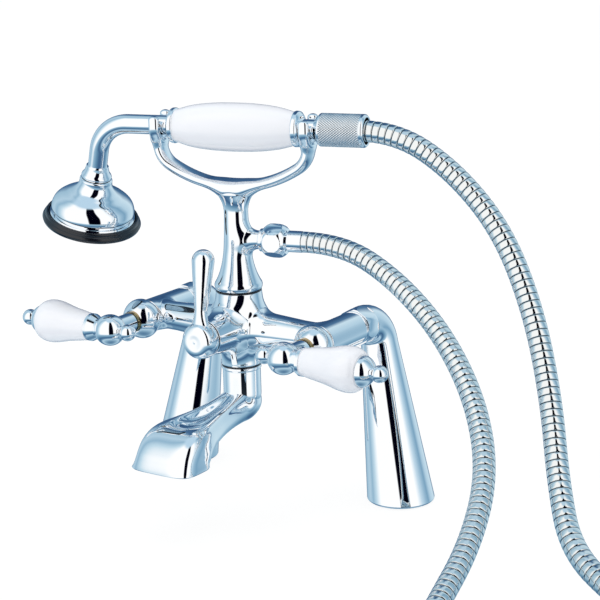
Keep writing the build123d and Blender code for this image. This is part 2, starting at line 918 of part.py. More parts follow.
knob_plane = lathe(Vector(0, knob_back_y, diverter_height), forward, up)
knob_face = drawn_face(
    knob_plane,
    ("straight", [(0, 0), (knob_skirt_radius * 0.94, 0)]),
    (
        "smooth",
        [
            (knob_skirt_radius * 0.94, 0),
            (knob_skirt_radius, knob_depth * 0.22),
            (knob_skirt_radius * 0.97, knob_depth * 0.55),
            (knob_skirt_radius * 0.86, knob_depth * 0.86),
            (knob_face_radius, knob_depth * 0.96),
            (knob_face_radius * 0.5, knob_depth),
            (0, knob_depth),
        ],
    ),
    ("straight", [(0, knob_depth), (0, 0)]),
)
lever_foot = Vector(0, lever_root_y, diverter_height)
lever_top = Vector(0, lever_tip_y, lever_bulb_z)
lever_axis = (lever_top - lever_foot).normalized()
lever_side = lathe(lever_foot, lever_axis, Vector(1, 0, 0))
bulb_height = (lever_top - lever_foot).length
neck_height = bulb_height * (lever_neck_z - diverter_height) / (lever_bulb_z - diverter_height)
swell_height = bulb_height * (lever_swell_z - diverter_height) / (lever_bulb_z - diverter_height)
blend_half_widths = [knob_face_radius, lever_neck_radius * 1.3, lever_neck_radius]
blend_heights = [knob_skirt_radius * 0.45, knob_skirt_radius * 1.05, neck_height]
lever_face = drawn_face(
    lever_side,
    ("straight", [(0, neck_height), (lever_neck_radius, neck_height)]),
    (
        "smooth",
        [
            (lever_neck_radius, neck_height),
            (lever_swell_radius, swell_height),
            (lever_bulb_radius, bulb_height),
        ],
    ),
    (
        "arc",
        [
            (lever_bulb_radius, bulb_height),
            (lever_bulb_radius * sqrt(0.5), bulb_height + lever_bulb_radius * sqrt(0.5)),
            (0, bulb_height + lever_bulb_radius),
        ],
    ),
    ("straight", [(0, bulb_height + lever_bulb_radius), (0, neck_height)]),
)
with BuildPart() as diverter_lever:
    revolve(knob_face, axis=turning_axis(knob_plane))
    revolve(lever_face, axis=turning_axis(lever_side))
    for half_width, height in zip(blend_half_widths, blend_heights):
        blend_plane = Plane(
            origin=lever_foot + lever_axis * height, x_dir=Vector(1, 0, 0), z_dir=lever_axis
        )
        with BuildSketch(blend_plane):
            Ellipse(half_width, lever_neck_radius)
    loft()
    with Locations(facing(Vector(0, knob_back_y, diverter_height), forward)):
        Cylinder(
            diverter_spindle_radius + running_gap / 2,
            knob_back_y - diverter_spindle_front_y,
            align=(Align.CENTER, Align.CENTER, Align.MIN),
            mode=Mode.SUBTRACT,
        )
    with Locations(facing(Vector(0, lever_root_y, diverter_height - knob_skirt_radius), up)):
        Cylinder(
            lever_grub_radius + running_gap / 2,
            knob_skirt_radius - diverter_spindle_radius,
            align=(Align.CENTER, Align.CENTER, Align.MIN),
            mode=Mode.SUBTRACT,
        )
save("diverter_lever", diverter_lever.part)

with BuildPart() as diverter_grub_screw:
    with Locations(Vector(0, lever_root_y, diverter_height - diverter_spindle_radius)):
        Cylinder(
            lever_grub_radius,
            lever_grub_length,
            align=(Align.CENTER, Align.CENTER, Align.MAX),
        )
save("diverter_grub_screw", diverter_grub_screw.part)

# Riser and cradle: one casting, turned a little about the body's upright axis
riser_plane = lathe(body_centre, up, across)


def cradle_point(u, n, z):
    """Point in the cradle's own directions: across, towards its front, up."""
    return body_centre + across * u + cradle_front * n + up * z


with BuildPart() as riser_washer:
    with BuildSketch(Plane.XY.offset(bell_top_z)):
        with Locations((0, -body_forward)):
            Circle(bell_top_radius - running_gap)
            Circle(nipple_radius + seat_gap, mode=Mode.SUBTRACT)
    extrude(amount=riser_washer_thickness)
save("riser_washer", riser_washer.part)

riser_face = drawn_face(
    riser_plane,
    (
        "straight",
        [
            (0, riser_bottom_z),
            (riser_foot_radius, riser_bottom_z),
            (riser_foot_radius, riser_bottom_z + riser_foot_bead),
        ],
    ),
    (
        "smooth",
        [
            (riser_foot_radius, riser_bottom_z + riser_foot_bead),
            (riser_hip_radius, riser_hip_z),
            (riser_waist_radius, riser_waist_z),
            (riser_low_radius, riser_low_z),
        ],
    ),
    (
        "straight",
        [
            (riser_low_radius, riser_low_z),
            (riser_top_radius, riser_top_z),
            (0, riser_top_z),
            (0, riser_bottom_z),
        ],
    ),
)
arc_end_z = handset_height - arc_end_drop
arc_rise = arc_end_z - arc_low_z
arc_corner_u = fork_u - arc_corner_radius
arc_radius = (arc_corner_u**2 + arc_rise**2 - arc_corner_radius**2) / (2 * (arc_rise - arc_corner_radius))
arc_lean = degrees(atan2(arc_corner_u, arc_radius - arc_rise))
arc_pieces = [
    (0, arc_low_z + arc_radius, arc_radius, arc_lean, 2 * arc_lean),
    (-arc_corner_u, arc_end_z, arc_corner_radius, 90, 90 - arc_lean),
    (arc_corner_u, arc_end_z, arc_corner_radius, -arc_lean, 90 - arc_lean),
]
prong_width = fork_outer_radius - fork_inner_radius
prong_offset = (fork_outer_radius + fork_inner_radius) / 2
prong_height = fork_tip_z - handset_height
ball_offset = fork_inner_radius + fork_ball_radius
web_heights = [riser_top_z, web_middle_z, arc_low_z]
web_half_widths = [riser_top_radius, web_middle_half_width, web_top_half_width]
web_half_depths = [riser_top_radius, web_thickness / 2, web_thickness / 2]
with BuildPart() as riser_cradle:
    revolve(riser_face, axis=turning_axis(riser_plane))
    with Locations(facing(cradle_point(0, 0, tee_height), across)):
        Cylinder(tee_radius, tee_ring_start_u, align=(Align.CENTER, Align.CENTER, Align.MIN))
    tee_joint = [
        edge
        for edge in riser_cradle.edges()
        if abs((edge.center() - body_centre).dot(across) - riser_low_radius) < tee_radius
        and abs(edge.center().Z - tee_height) < tee_radius
    ]
    fillet(tee_joint, tee_blend)
    with Locations(facing(cradle_point(tee_ring_start_u, 0, tee_height), across)):
        Cylinder(
            tee_ring_radius,
            tee_end_u - tee_ring_start_u,
            align=(Align.CENTER, Align.CENTER, Align.MIN),
        )
    with Locations(facing(cradle_point(tee_end_u, 0, tee_height), across)):
        Cylinder(
            tee_spigot_radius,
            tee_spigot_length,
            align=(Align.CENTER, Align.CENTER, Align.MIN),
        )
    for centre_u, centre_z, radius, lean, swing in arc_pieces:
        spoke = across * -sin(radians(lean)) - up * cos(radians(lean))
        heading = across * cos(radians(lean)) - up * sin(radians(lean))
        centre = cradle_point(centre_u, 0, centre_z)
        section_plane = Plane(origin=centre + spoke * radius, x_dir=cradle_front, z_dir=heading)
        with BuildSketch(section_plane):
            Ellipse(arc_band_depth / 2, arc_band_height / 2)
        revolve(axis=Axis(centre, cradle_front), revolution_arc=swing)
    for side in (-1, 1):
        stem_plane = Plane(origin=cradle_point(side * fork_u, 0, arc_end_z), x_dir=cradle_front, z_dir=up)
        with BuildSketch(stem_plane):
            Ellipse(arc_band_depth / 2, arc_band_height / 2)
        extrude(amount=handset_height - fork_inner_radius - arc_end_z)
    for height, half_width, half_depth in zip(web_heights, web_half_widths, web_half_depths):
        with BuildSketch(Plane(origin=cradle_point(0, 0, height), x_dir=across, z_dir=up)):
            Ellipse(half_width, half_depth)
    loft()
    for side in (-1, 1):
        fork_plane = Plane(
            origin=cradle_point(side * fork_u - fork_thickness / 2, 0, handset_height),
            x_dir=-cradle_front,
            z_dir=across,
        )
        with BuildSketch(fork_plane):
            Circle(fork_outer_radius)
            Rectangle(
                2 * fork_outer_radius,
                2 * fork_outer_radius,
                align=(Align.CENTER, Align.MIN),
                mode=Mode.SUBTRACT,
            )
            with Locations((-prong_offset, 0), (prong_offset, 0)):
                Rectangle(prong_width, prong_height, align=(Align.CENTER, Align.MIN))
            with Locations((-prong_offset, prong_height), (prong_offset, prong_height)):
                Circle(prong_width / 2)
            Circle(fork_inner_radius, mode=Mode.SUBTRACT)
        extrude(amount=fork_thickness)
        with Locations(cradle_point(side * fork_u, -ball_offset, fork_tip_z + fork_ball_rise)):
            Sphere(fork_ball_radius)
    with Locations(facing(cradle_point(-fork_u - fork_thickness, 0, handset_height), across)):
        Cylinder(
            fork_inner_radius,
            2 * (fork_u + fork_thickness),
            align=(Align.CENTER, Align.CENTER, Align.MIN),
            mode=Mode.SUBTRACT,
        )
    with Locations(Vector(0, -body_forward, riser_bottom_z)):
        Cylinder(
            nipple_radius + running_gap,
            riser_socket_depth,
            align=(Align.CENTER, Align.CENTER, Align.MIN),
            mode=Mode.SUBTRACT,
        )
        Cylinder(
            riser_bore_radius,
            tee_height - riser_bottom_z,
            align=(Align.CENTER, Align.CENTER, Align.MIN),
            mode=Mode.SUBTRACT,
        )
    with Locations(facing(cradle_point(0, 0, tee_height), across)):
        Cylinder(
            riser_bore_radius,
            tee_end_u + tee_spigot_length,
            align=(Align.CENTER, Align.CENTER, Align.MIN),
            mode=Mode.SUBTRACT,
        )
save("riser_cradle", riser_cradle.part)

# Hose fittings on the tee
hose_washer_u = tee_end_u + tee_spigot_length
sleeve_start_u = hose_washer_u + hose_washer_thickness
with BuildPart() as hose_washer:
    with BuildSketch(facing(cradle_point(hose_washer_u, 0, tee_height), across)):
        Circle(tee_spigot_radius - running_gap)
        Circle(hose_washer_bore, mode=Mode.SUBTRACT)
    extrude(amount=hose_washer_thickness)
save("hose_washer", hose_washer.part)

nut_start = cradle_point(tee_end_u, 0, tee_height)
nut_length = hose_nut_end_u - tee_end_u
nut_hexagon, nut_outline, nut_axis = barrelled_nut(
    nut_start, across, up, nut_length, hose_nut_flats, hose_nut_corner_radius
)
nut_plane = lathe(nut_start, across, up)
nut_bore = [
    (0, 0),
    (tee_spigot_radius + running_gap, 0),
    (tee_spigot_radius + running_gap, nut_length - hose_nut_lip),
    (sleeve_neck_radius + running_gap, nut_length - hose_nut_lip),
    (sleeve_neck_radius + running_gap, nut_length),
    (0, nut_length),
]
with BuildPart() as hose_nut:
    extrude(nut_hexagon, amount=nut_length)
    revolve(nut_outline, axis=nut_axis, mode=Mode.INTERSECT)
    revolve(turned_face(nut_plane, nut_bore), axis=nut_axis, mode=Mode.SUBTRACT)
save("hose_nut", hose_nut.part)

sleeve_plane = lathe(cradle_point(sleeve_start_u, 0, tee_height), across, up)
sleeve_shoulder = hose_nut_end_u - sleeve_start_u + running_gap
sleeve_length = sleeve_end_u - sleeve_start_u
hose_sleeve_profile = [
    (sleeve_bore_radius, 0),
    (tee_spigot_radius - running_gap, 0),
    (tee_spigot_radius - running_gap, sleeve_flange_thickness - running_gap),
    (sleeve_neck_radius, sleeve_flange_thickness - running_gap),
    (sleeve_neck_radius, sleeve_shoulder),
    (sleeve_radius, sleeve_shoulder),
    (sleeve_radius, sleeve_length),
    (sleeve_bore_radius, sleeve_length),
]
with BuildPart() as hose_end_sleeve:
    revolve(turned_face(sleeve_plane, hose_sleeve_profile), axis=turning_axis(sleeve_plane))
save("hose_end_sleeve", hose_end_sleeve.part)

# Handset, lying across the cradle and rolled a little about its grip
roll = radians(handset_roll)
handset_centre = cradle_point(0, 0, handset_height)
handset_up = up * cos(roll) + cradle_front * sin(roll)
handset_plane = lathe(handset_centre, across, handset_up)
ferrule_start = grip_half_length - ferrule_lap
ferrule_end = ferrule_start + ferrule_length


def build_ferrule(side):
    """Cup that holds one end of the porcelain grip."""
    wall_end = side * ferrule_end
    lap = side * ferrule_start
    grip_end = side * grip_half_length
    bore = neck_radius + running_gap if side < 0 else grip_tube_radius + running_gap
    profile = [
        (bore, grip_end),
        (grip_end_radius * grip_shoulder_share + running_gap, grip_end),
        (grip_end_radius * grip_shoulder_share + running_gap, lap),
        (ferrule_radius, lap),
        (ferrule_radius, side * (ferrule_end - ferrule_lap)),
        (ferrule_radius * 0.8, wall_end),
        (bore, wall_end),
    ]
    with BuildPart() as ferrule:
        revolve(turned_face(handset_plane, profile), axis=turning_axis(handset_plane))
    return ferrule.part


save("left_grip_ferrule", build_ferrule(-1))
save("right_grip_ferrule", build_ferrule(1))

grip_face = drawn_face(
    handset_plane,
    ("straight", [(grip_bore_radius, -grip_half_length), (grip_end_radius, -grip_half_length)]),
    (
        "smooth",
        [
            (grip_end_radius, -grip_half_length),
            (grip_end_radius * grip_shoulder_share, -grip_half_length * 0.95),
            (grip_radius * 0.93, -grip_half_length * 0.5),
            (grip_radius, 0),
            (grip_radius * 0.93, grip_half_length * 0.5),
            (grip_end_radius * grip_shoulder_share, grip_half_length * 0.95),
            (grip_end_radius, grip_half_length),
        ],
    ),
    (
        "straight",
        [
            (grip_end_radius, grip_half_length),
            (grip_bore_radius, grip_half_length),
            (grip_bore_radius, -grip_half_length),
        ],
    ),
)
with BuildPart() as porcelain_grip:
    revolve(grip_face, axis=turning_axis(handset_plane))
save("porcelain_grip", porcelain_grip.part)

tube_profile = [
    (gooseneck_bore_radius, -grip_half_length),
    (grip_tube_radius, -grip_half_length),
    (grip_tube_radius, ferrule_end),
    (neck_radius, ferrule_end),
    (neck_radius, knurl_start_u),
    (gooseneck_bore_radius, knurl_start_u),
]
with BuildPart() as grip_tube:
    revolve(turned_face(handset_plane, tube_profile), axis=turning_axis(handset_plane))
save("grip_tube", grip_tube.part)

recess_radius = hose_diameter / 2 + seat_gap
knurl_profile = [
    (gooseneck_bore_radius, knurl_start_u),
    (knurl_radius - knurl_chamfer, knurl_start_u),
    (knurl_radius, knurl_start_u + knurl_chamfer),
    (knurl_radius, knurl_end_u - knurl_lip),
    (knurl_radius - knurl_lip, knurl_end_u),
    (recess_radius, knurl_end_u),
    (recess_radius, knurl_end_u - hose_recess_depth),
    (gooseneck_bore_radius, knurl_end_u - hose_recess_depth),
]
with BuildPart() as knurled_sleeve:
    revolve(turned_face(handset_plane, knurl_profile), axis=turning_axis(handset_plane))
save("knurled_sleeve", knurled_sleeve.part)

bend_start_point = handset_centre + across * gooseneck_straight_end_u
bend_axis = Axis(bend_start_point - handset_up * gooseneck_bend_radius, across.cross(handset_up))
bend_rad = radians(gooseneck_bend_angle)
head_down = -across * cos(bend_rad) - handset_up * sin(bend_rad)
bend_end_point = (
    bend_start_point
    - across * gooseneck_bend_radius * sin(bend_rad)
    - handset_up * gooseneck_bend_radius * (1 - cos(bend_rad))
)
straight_length = gooseneck_start_u - gooseneck_straight_end_u
with BuildPart() as gooseneck:
    with BuildSketch(Plane(origin=bend_start_point, x_dir=handset_up, z_dir=across)):
        Circle(neck_radius)
        Circle(gooseneck_bore_radius, mode=Mode.SUBTRACT)
    extrude(amount=straight_length)
    with BuildSketch(Plane(origin=bend_start_point, x_dir=handset_up, z_dir=-across)):
        Circle(neck_radius)
        Circle(gooseneck_bore_radius, mode=Mode.SUBTRACT)
    revolve(axis=bend_axis, revolution_arc=gooseneck_bend_angle)
    with BuildSketch(facing(bend_end_point, head_down)):
        Circle(neck_radius)
        Circle(gooseneck_bore_radius, mode=Mode.SUBTRACT)
    extrude(amount=gooseneck_tail)
save("gooseneck", gooseneck.part)

# Shower head, measured down its own axis from the end of the gooseneck
head_out = across.cross(handset_up)
head_plane = lathe(bend_end_point + head_down * gooseneck_tail, head_down, head_out)
neck_start = head_collar_length
bell_start = neck_start + head_neck_length
rim_start = bell_start + bell_depth
rim_end = rim_start + bell_rim_height
collar_profile = [
    (gooseneck_bore_radius, 0),
    (head_collar_top_radius, 0),
    (head_collar_low_radius, head_collar_length * 0.9),
    (head_collar_low_radius, head_collar_length),
    (gooseneck_bore_radius, head_collar_length),
]
with BuildPart() as head_collar:
    revolve(turned_face(head_plane, collar_profile), axis=turning_axis(head_plane))
save("head_collar", head_collar.part)

bell_outer = [
    (head_neck_radius, bell_start),
    (head_neck_radius * 1.2, bell_start + bell_depth * 0.16),
    (bell_rim_radius * 0.68, bell_start + bell_depth * 0.38),
    (bell_rim_radius * 0.91, bell_start + bell_depth * 0.68),
    (bell_rim_radius, rim_start),
]
bell_inner = [(radius - bell_wall, depth + bell_wall) for radius, depth in reversed(bell_outer)]
bell_face = drawn_face(
    head_plane,
    (
        "straight",
        [
            (gooseneck_bore_radius, neck_start),
            (head_collar_low_radius, neck_start),
            (head_neck_radius, neck_start + head_neck_length * 0.3),
            (head_neck_radius, bell_start),
        ],
    ),
    ("smooth", bell_outer),
    (
        "straight",
        [
            (bell_rim_radius, rim_start),
            (bell_rim_radius, rim_end),
            (bell_rim_radius - bell_wall, rim_end),
            bell_inner[0],
        ],
    ),
    ("smooth", bell_inner),
    (
        "straight",
        [
            bell_inner[-1],
            (gooseneck_bore_radius, bell_inner[-1][1]),
            (gooseneck_bore_radius, neck_start),
        ],
    ),
)
with BuildPart() as head_bell:
    revolve(bell_face, axis=turning_axis(head_plane))
save("head_bell", head_bell.part)

ring_inner = bell_rim_radius
ring_top = rim_end - head_ring_height / 2
ring_half = head_ring_height / 2
ring_profile = [
    (ring_inner, ring_top),
    (head_ring_radius - ring_half * 0.75, ring_top - ring_half * 0.1),
    (head_ring_radius - ring_half * 0.2, ring_top + ring_half * 0.5),
    (head_ring_radius, ring_top + ring_half),
    (head_ring_radius - ring_half * 0.2, ring_top + ring_half * 1.5),
    (head_ring_radius - ring_half * 0.9, ring_top + head_ring_height),
    (ring_inner - bell_wall, ring_top + head_ring_height),
    (ring_inner - bell_wall, rim_end),
    (ring_inner, rim_end),
]
with BuildPart() as rubber_ring:
    revolve(turned_face(head_plane, ring_profile), axis=turning_axis(head_plane))
save("rubber_ring", rubber_ring.part)

rose_plane = Plane(
    origin=head_plane.origin + head_down * (rim_end + ring_half - rose_thickness),
    x_dir=head_out,
    z_dir=head_down,
)
with BuildPart() as rose_plate:
    with BuildSketch(rose_plane):
        Circle(rose_radius)
        Circle(rose_jet_radius, mode=Mode.SUBTRACT)
        for radius_share, jets in rose_ring_shares:
            with PolarLocations(rose_radius * radius_share, jets):
                Circle(rose_jet_radius, mode=Mode.SUBTRACT)
    extrude(amount=rose_thickness)
save("rose_plate", rose_plate.part)

# Spout: ring and neck under the body, then a flattening arm that turns down at its mouth
spout_top_z = column_bottom_z - spout_washer_thickness
with BuildPart() as spout_washer:
    with BuildSketch(Plane.XY.offset(spout_top_z)):
        with Locations((0, -body_forward)):
            Circle(spout_ring_radius - seat_gap)
            Circle(spout_socket_radius, mode=Mode.SUBTRACT)
    extrude(amount=spout_washer_thickness)
save("spout_washer", spout_washer.part)

spout_section_shares = [
    (0.00, 1.00, 1.02, 0.0, 0.0),
    (0.16, 0.98, 0.92, -0.17, 0.0),
    (0.40, 1.07, 0.80, -0.37, 0.0),
    (0.60, 1.28, 0.74, -0.54, 4.0),
    (0.79, 1.64, 0.70, -0.74, 16.0),
    (0.92, 1.84, 0.86, -1.05, 42.0),
]
with BuildPart() as spout:
    with Locations(Vector(0, -body_forward, spout_top_z)):
        Cylinder(
            spout_ring_radius,
            spout_ring_height,
            align=(Align.CENTER, Align.CENTER, Align.MAX),
        )
        Cylinder(
            spout_neck_radius,
            spout_top_z - spout_shoulder_z,
            align=(Align.CENTER, Align.CENTER, Align.MAX),
        )
    with Locations(Vector(0, -body_forward, spout_shoulder_z)):
        Sphere(spout_neck_radius)
    for along_share, width_share, depth_share, drop_share, tilt in spout_section_shares:
        section_origin = Vector(
            0,
            -body_forward - spout_reach * along_share,
            spout_shoulder_z - spout_neck_radius / 2 + spout_neck_radius * drop_share,
        )
        section_normal = Vector(0, -cos(radians(tilt)), -sin(radians(tilt)))
        with BuildSketch(Plane(origin=section_origin, x_dir=Vector(1, 0, 0), z_dir=section_normal)):
            RectangleRounded(
                2 * spout_neck_radius * width_share,
                2 * spout_neck_radius * depth_share,
                spout_neck_radius * depth_share * 0.7,
            )
    with BuildSketch(Plane(origin=Vector(0, outlet_y, outlet_z), x_dir=Vector(1, 0, 0), z_dir=-up)):
        RectangleRounded(outlet_width, outlet_depth, outlet_round)
    loft()
    with Locations(Vector(0, -body_forward, spout_top_z)):
        Cylinder(
            spout_socket_radius - running_gap,
            spout_socket_depth,
            align=(Align.CENTER, Align.CENTER, Align.MIN),
        )
        Cylinder(
            spout_bore_radius,
            2 * (spout_top_z - spout_shoulder_z + spout_neck_radius / 2),
            mode=Mode.SUBTRACT,
        )
    channel_start = Vector(0, -body_forward, spout_shoulder_z - spout_neck_radius / 2)
    channel_end = Vector(0, outlet_y, outlet_z + outlet_cup_depth)
    with Locations(facing(channel_start, channel_end - channel_start)):
        Cylinder(
            spout_bore_radius,
            (channel_end - channel_start).length,
            align=(Align.CENTER, Align.CENTER, Align.MIN),
            mode=Mode.SUBTRACT,
        )
    with Locations(channel_start):
        Sphere(spout_bore_radius, mode=Mode.SUBTRACT)
    with BuildSketch(Plane(origin=Vector(0, outlet_y, outlet_z), x_dir=Vector(1, 0, 0), z_dir=up)):
        RectangleRounded(
            outlet_width - 2 * outlet_wall,
            outlet_depth - 2 * outlet_wall,
            outlet_round - outlet_wall,
        )
    extrude(amount=outlet_cup_depth, mode=Mode.SUBTRACT)
save("spout", spout.part)

with BuildPart() as flow_straightener:
    with BuildSketch(Plane.XY.offset(outlet_z + outlet_cup_depth - straightener_thickness)):
        with Locations((0, outlet_y)):
            RectangleRounded(
                outlet_width - 2 * outlet_wall - 2 * running_gap,
                outlet_depth - 2 * outlet_wall - 2 * running_gap,
                outlet_round - outlet_wall,
            )
            with GridLocations(straightener_pitch, straightener_pitch, 5, 3):
                Circle(straightener_hole_radius, mode=Mode.SUBTRACT)
    extrude(amount=straightener_thickness)
save("flow_straightener", flow_straightener.part)

# Hose: two free stretches and the put-away turns between them
hose_radius = hose_diameter / 2
coil_centre = Vector(coil_centre_x, coil_centre_y, 0)
layer_rise = hose_diameter + coil_gap


def bend_radii(points):
    """Largest tangent arc at each corner of a route."""
    radii = []
    for before, corner, after in zip(points, points[1:], points[2:]):
        arriving = Vector(*corner) - Vector(*before)
        leaving = Vector(*after) - Vector(*corner)
        turn = radians(arriving.get_angle(leaving))
        shorter = min(arriving.length, leaving.length)
        radii.append(bend_share * shorter / tan(turn / 2))
    return radii


def build_hose(name, points):
    """Round tube along a route of straight runs joined by tangent arcs."""
    radii = bend_radii(points)
    with BuildLine() as route:
        FilletPolyline(*points, radius=radii)
    start_direction = route.wire() % 0
    with BuildPart() as hose:
        with BuildSketch(Plane(origin=points[0], z_dir=start_direction)) as section:
            Circle(hose_radius)
        sweep(section.sketch, path=route.wire())
    area = section.sketch.area
    length = route.wire().length
    print(name, "radii", [round(radius, 1) for radius in radii])
    print(name, "length", round(length, 1), "volume share", hose.part.volume / (area * length))
    return hose.part


def coil_point(angle, height):
    """Point on the turns and its heading, by angle about the coil's centre."""
    swing = radians(angle)
    spoke = Vector(cos(swing), sin(swing), 0)
    return coil_centre + spoke * coil_radius + up * height, up.cross(spoke)


def middle_of_biarc(start, heading, end, end_heading):
    """Meeting point of the two arcs that join two points with their headings."""
    span = end - start
    both = heading + end_heading
    spread = 2 * (1 - heading.dot(end_heading))
    reach_out = (-span.dot(both) + sqrt(span.dot(both) ** 2 + spread * span.dot(span))) / spread
    return (start + heading * reach_out + end - end_heading * reach_out) / 2, reach_out


low_layer = hose_radius
high_layer = hose_radius + layer_rise
coil_stations = [
    (0, low_layer), (45, low_layer), (135, low_layer), (225, low_layer),
    (315, high_layer), (405, high_layer), (495, high_layer), (540, high_layer),
]
stations = [coil_point(coil_entry_angle + angle, height) for angle, height in coil_stations]
first_point, first_heading = stations[0]
last_point, last_heading = stations[-1]
coil_start = first_point - first_heading * hose_diameter
coil_end = last_point + last_heading * hose_diameter
with BuildLine() as coil_path:
    Line(coil_start, first_point)
    for (start, heading), (end, end_heading) in zip(stations, stations[1:]):
        middle, reach_out = middle_of_biarc(start, heading, end, end_heading)
        middle_heading = end - end_heading * reach_out - start - heading * reach_out
        TangentArc(start, middle, tangent=heading)
        TangentArc(middle, end, tangent=middle_heading)
    Line(last_point, coil_end)
with BuildPart() as hose_coil:
    with BuildSketch(facing(coil_start, first_heading)) as coil_section:
        Circle(hose_radius)
    sweep(coil_section.sketch, path=coil_path.wire())
save("hose_coil", hose_coil.part)
samples = [coil_path.wire() @ (step / 300) for step in range(301)]
quarter_steps = 60
least_gap = min(
    (samples[first] - samples[second]).length
    for first in range(301)
    for second in range(first + quarter_steps, 301)
)
print("coil gap", least_gap - hose_diameter, "length", coil_path.wire().length)

upper_start_u = knurl_end_u - hose_recess_depth
upper_route = [
    tuple(cradle_point(upper_start_u, 0, handset_height)),
    tuple(cradle_point(upper_start_u + handset_lead, 0, handset_height)),
    *upper_hose_points,
    tuple(coil_end + last_heading * hose_lead),
    tuple(coil_end),
]
lower_route = [
    tuple(cradle_point(sleeve_end_u, 0, tee_height)),
    tuple(cradle_point(sleeve_end_u + hose_lead, 0, tee_height)),
    *lower_hose_points,
    tuple(coil_start - first_heading * hose_lead),
    tuple(coil_start),
]
save("hose_upper_run", build_hose("upper", upper_route))
save("hose_lower_run", build_hose("lower", lower_route))
print("upper route", [tuple(round(value, 1) for value in point) for point in upper_route])
print("lower route", [tuple(round(value, 1) for value in point) for point in lower_route])
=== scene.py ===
"""Dressing of a deck-mounted bath shower mixer: polished castings, porcelain, ribbed hose, stage."""
import json

import bmesh
import bpy
import numpy as np
from mathutils import Matrix, Vector


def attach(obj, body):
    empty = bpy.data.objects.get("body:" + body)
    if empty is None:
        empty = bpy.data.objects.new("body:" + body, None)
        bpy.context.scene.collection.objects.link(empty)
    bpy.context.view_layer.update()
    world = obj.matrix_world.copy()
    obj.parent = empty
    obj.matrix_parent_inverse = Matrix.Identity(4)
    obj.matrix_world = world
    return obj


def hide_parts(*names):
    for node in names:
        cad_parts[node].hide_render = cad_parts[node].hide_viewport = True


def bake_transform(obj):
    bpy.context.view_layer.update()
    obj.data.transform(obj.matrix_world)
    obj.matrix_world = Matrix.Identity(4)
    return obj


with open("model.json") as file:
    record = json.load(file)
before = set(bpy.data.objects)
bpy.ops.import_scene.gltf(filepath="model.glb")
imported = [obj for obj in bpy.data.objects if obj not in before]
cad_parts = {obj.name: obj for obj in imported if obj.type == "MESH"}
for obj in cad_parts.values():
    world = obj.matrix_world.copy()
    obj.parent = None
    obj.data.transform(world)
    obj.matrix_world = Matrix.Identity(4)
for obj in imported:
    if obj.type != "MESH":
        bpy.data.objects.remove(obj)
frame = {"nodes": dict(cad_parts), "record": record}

bl_info = {
    "name": "Bath shower mixer dressing",
    "version": (1, 0, 0),
    "blender": (4, 5, 0),
    "location": "View3D > Sidebar > Mixer",
    "description": "Adds the finished surfaces, the hose and the stage of a bath shower mixer",
    "category": "Object",
}

MM = 0.001

# Places that several pieces share, in millimetres as in the construction
BODY_FORWARD = 51.5
BODY_MIDDLE = np.array([0.0, -BODY_FORWARD, 0.0])
TEE_HEIGHT = 177.0
HANDSET_HEIGHT = 249.5
VALVES = ((-1, "left"), (1, "right"))

# Directions: of the valves, of the turned cradle and of the rolled handset
UP = np.array([0.0, 0.0, 1.0])
FORWARD = np.array([0.0, -1.0, 0.0])
CRADLE_TURN = np.radians(14.7)
ACROSS = np.array([np.cos(CRADLE_TURN), np.sin(CRADLE_TURN), 0.0])
FRONT = np.array([ACROSS[1], -ACROSS[0], 0.0])
HANDSET_ROLL = np.radians(10.0)
HANDSET_UP = UP * np.cos(HANDSET_ROLL) + FRONT * np.sin(HANDSET_ROLL)

# Hose route in millimetres, from the handset to the coil and from the tee to the coil
UPPER_ROUTE = [
    (82.3, -29.9, 249.5), (104.6, -24.1, 249.5), (142.0, -20.0, 228.0),
    (178.0, -24.0, 195.0), (206.0, -37.0, 151.0), (228.0, -57.0, 105.0),
    (246.0, -83.0, 65.0), (267.0, -109.0, 37.0), (304.0, -128.0, 24.0),
    (343.0, -147.4, 20.85),
]
LOWER_ROUTE = [
    (43.8, -40.0, 177.0), (69.0, -33.4, 177.0), (108.0, -34.0, 159.0),
    (148.0, -45.0, 132.0), (183.0, -66.0, 99.0), (207.0, -96.0, 67.0),
    (218.0, -137.0, 39.0), (221.0, -182.0, 18.0), (229.3, -225.5, 6.75),
]
COIL_CENTRE = (308.5, -219.0)
COIL_RADIUS = 69.0
COIL_ENTRY_DEGREES = 214.5
COIL_LOW = 6.75
COIL_HIGH = 20.85
COIL_STEP_DEGREES = 30.0
COIL_TURN_DEGREES = 540.0
CLIMB_DEGREES = (225.0, 315.0)

# CAD nodes that finished pieces stand for
finished_nodes = set()


def mesh_from_grid(name, points):
    """Mesh from a grid of points: rows run along the piece, columns close round it."""
    rows, columns = points.shape[:2]
    i, j = np.meshgrid(np.arange(rows - 1), np.arange(columns), indexing="ij")
    here, beside = i * columns + j, i * columns + (j + 1) % columns
    faces = np.stack([here, beside, beside + columns, here + columns], -1)
    mesh = bpy.data.meshes.new(name)
    mesh.from_pydata(points.reshape(-1, 3).tolist(), [], faces.reshape(-1, 4).tolist())
    return mesh


def write_painted_shade(mesh, columns, shares):
    """Write a share of painted shade for each point of a grid mesh into the V of a UV layer called rib: a
    low share is painted dark.
    """
    layer = mesh.uv_layers.new(name="rib")
    corners = np.empty(len(mesh.loops), np.int32)
    mesh.loops.foreach_get("vertex_index", corners)
    values = np.stack([(corners % columns) / columns, np.asarray(shares).ravel()[corners]], 1)
    layer.data.foreach_set("uv", values.ravel())


def unit(vector):
    """Vector of length one."""
    vector = np.asarray(vector, float)
    return vector / np.linalg.norm(vector)


def full_turn(count):
    """Angles that share a full turn evenly, without its end."""
    return np.linspace(0.0, 2 * np.pi, count, endpoint=False)


def spokes_of(angle, first, second):
    """Directions at angles from a first direction towards a second one."""
    return np.cos(angle)[:, None] * first + np.sin(angle)[:, None] * second


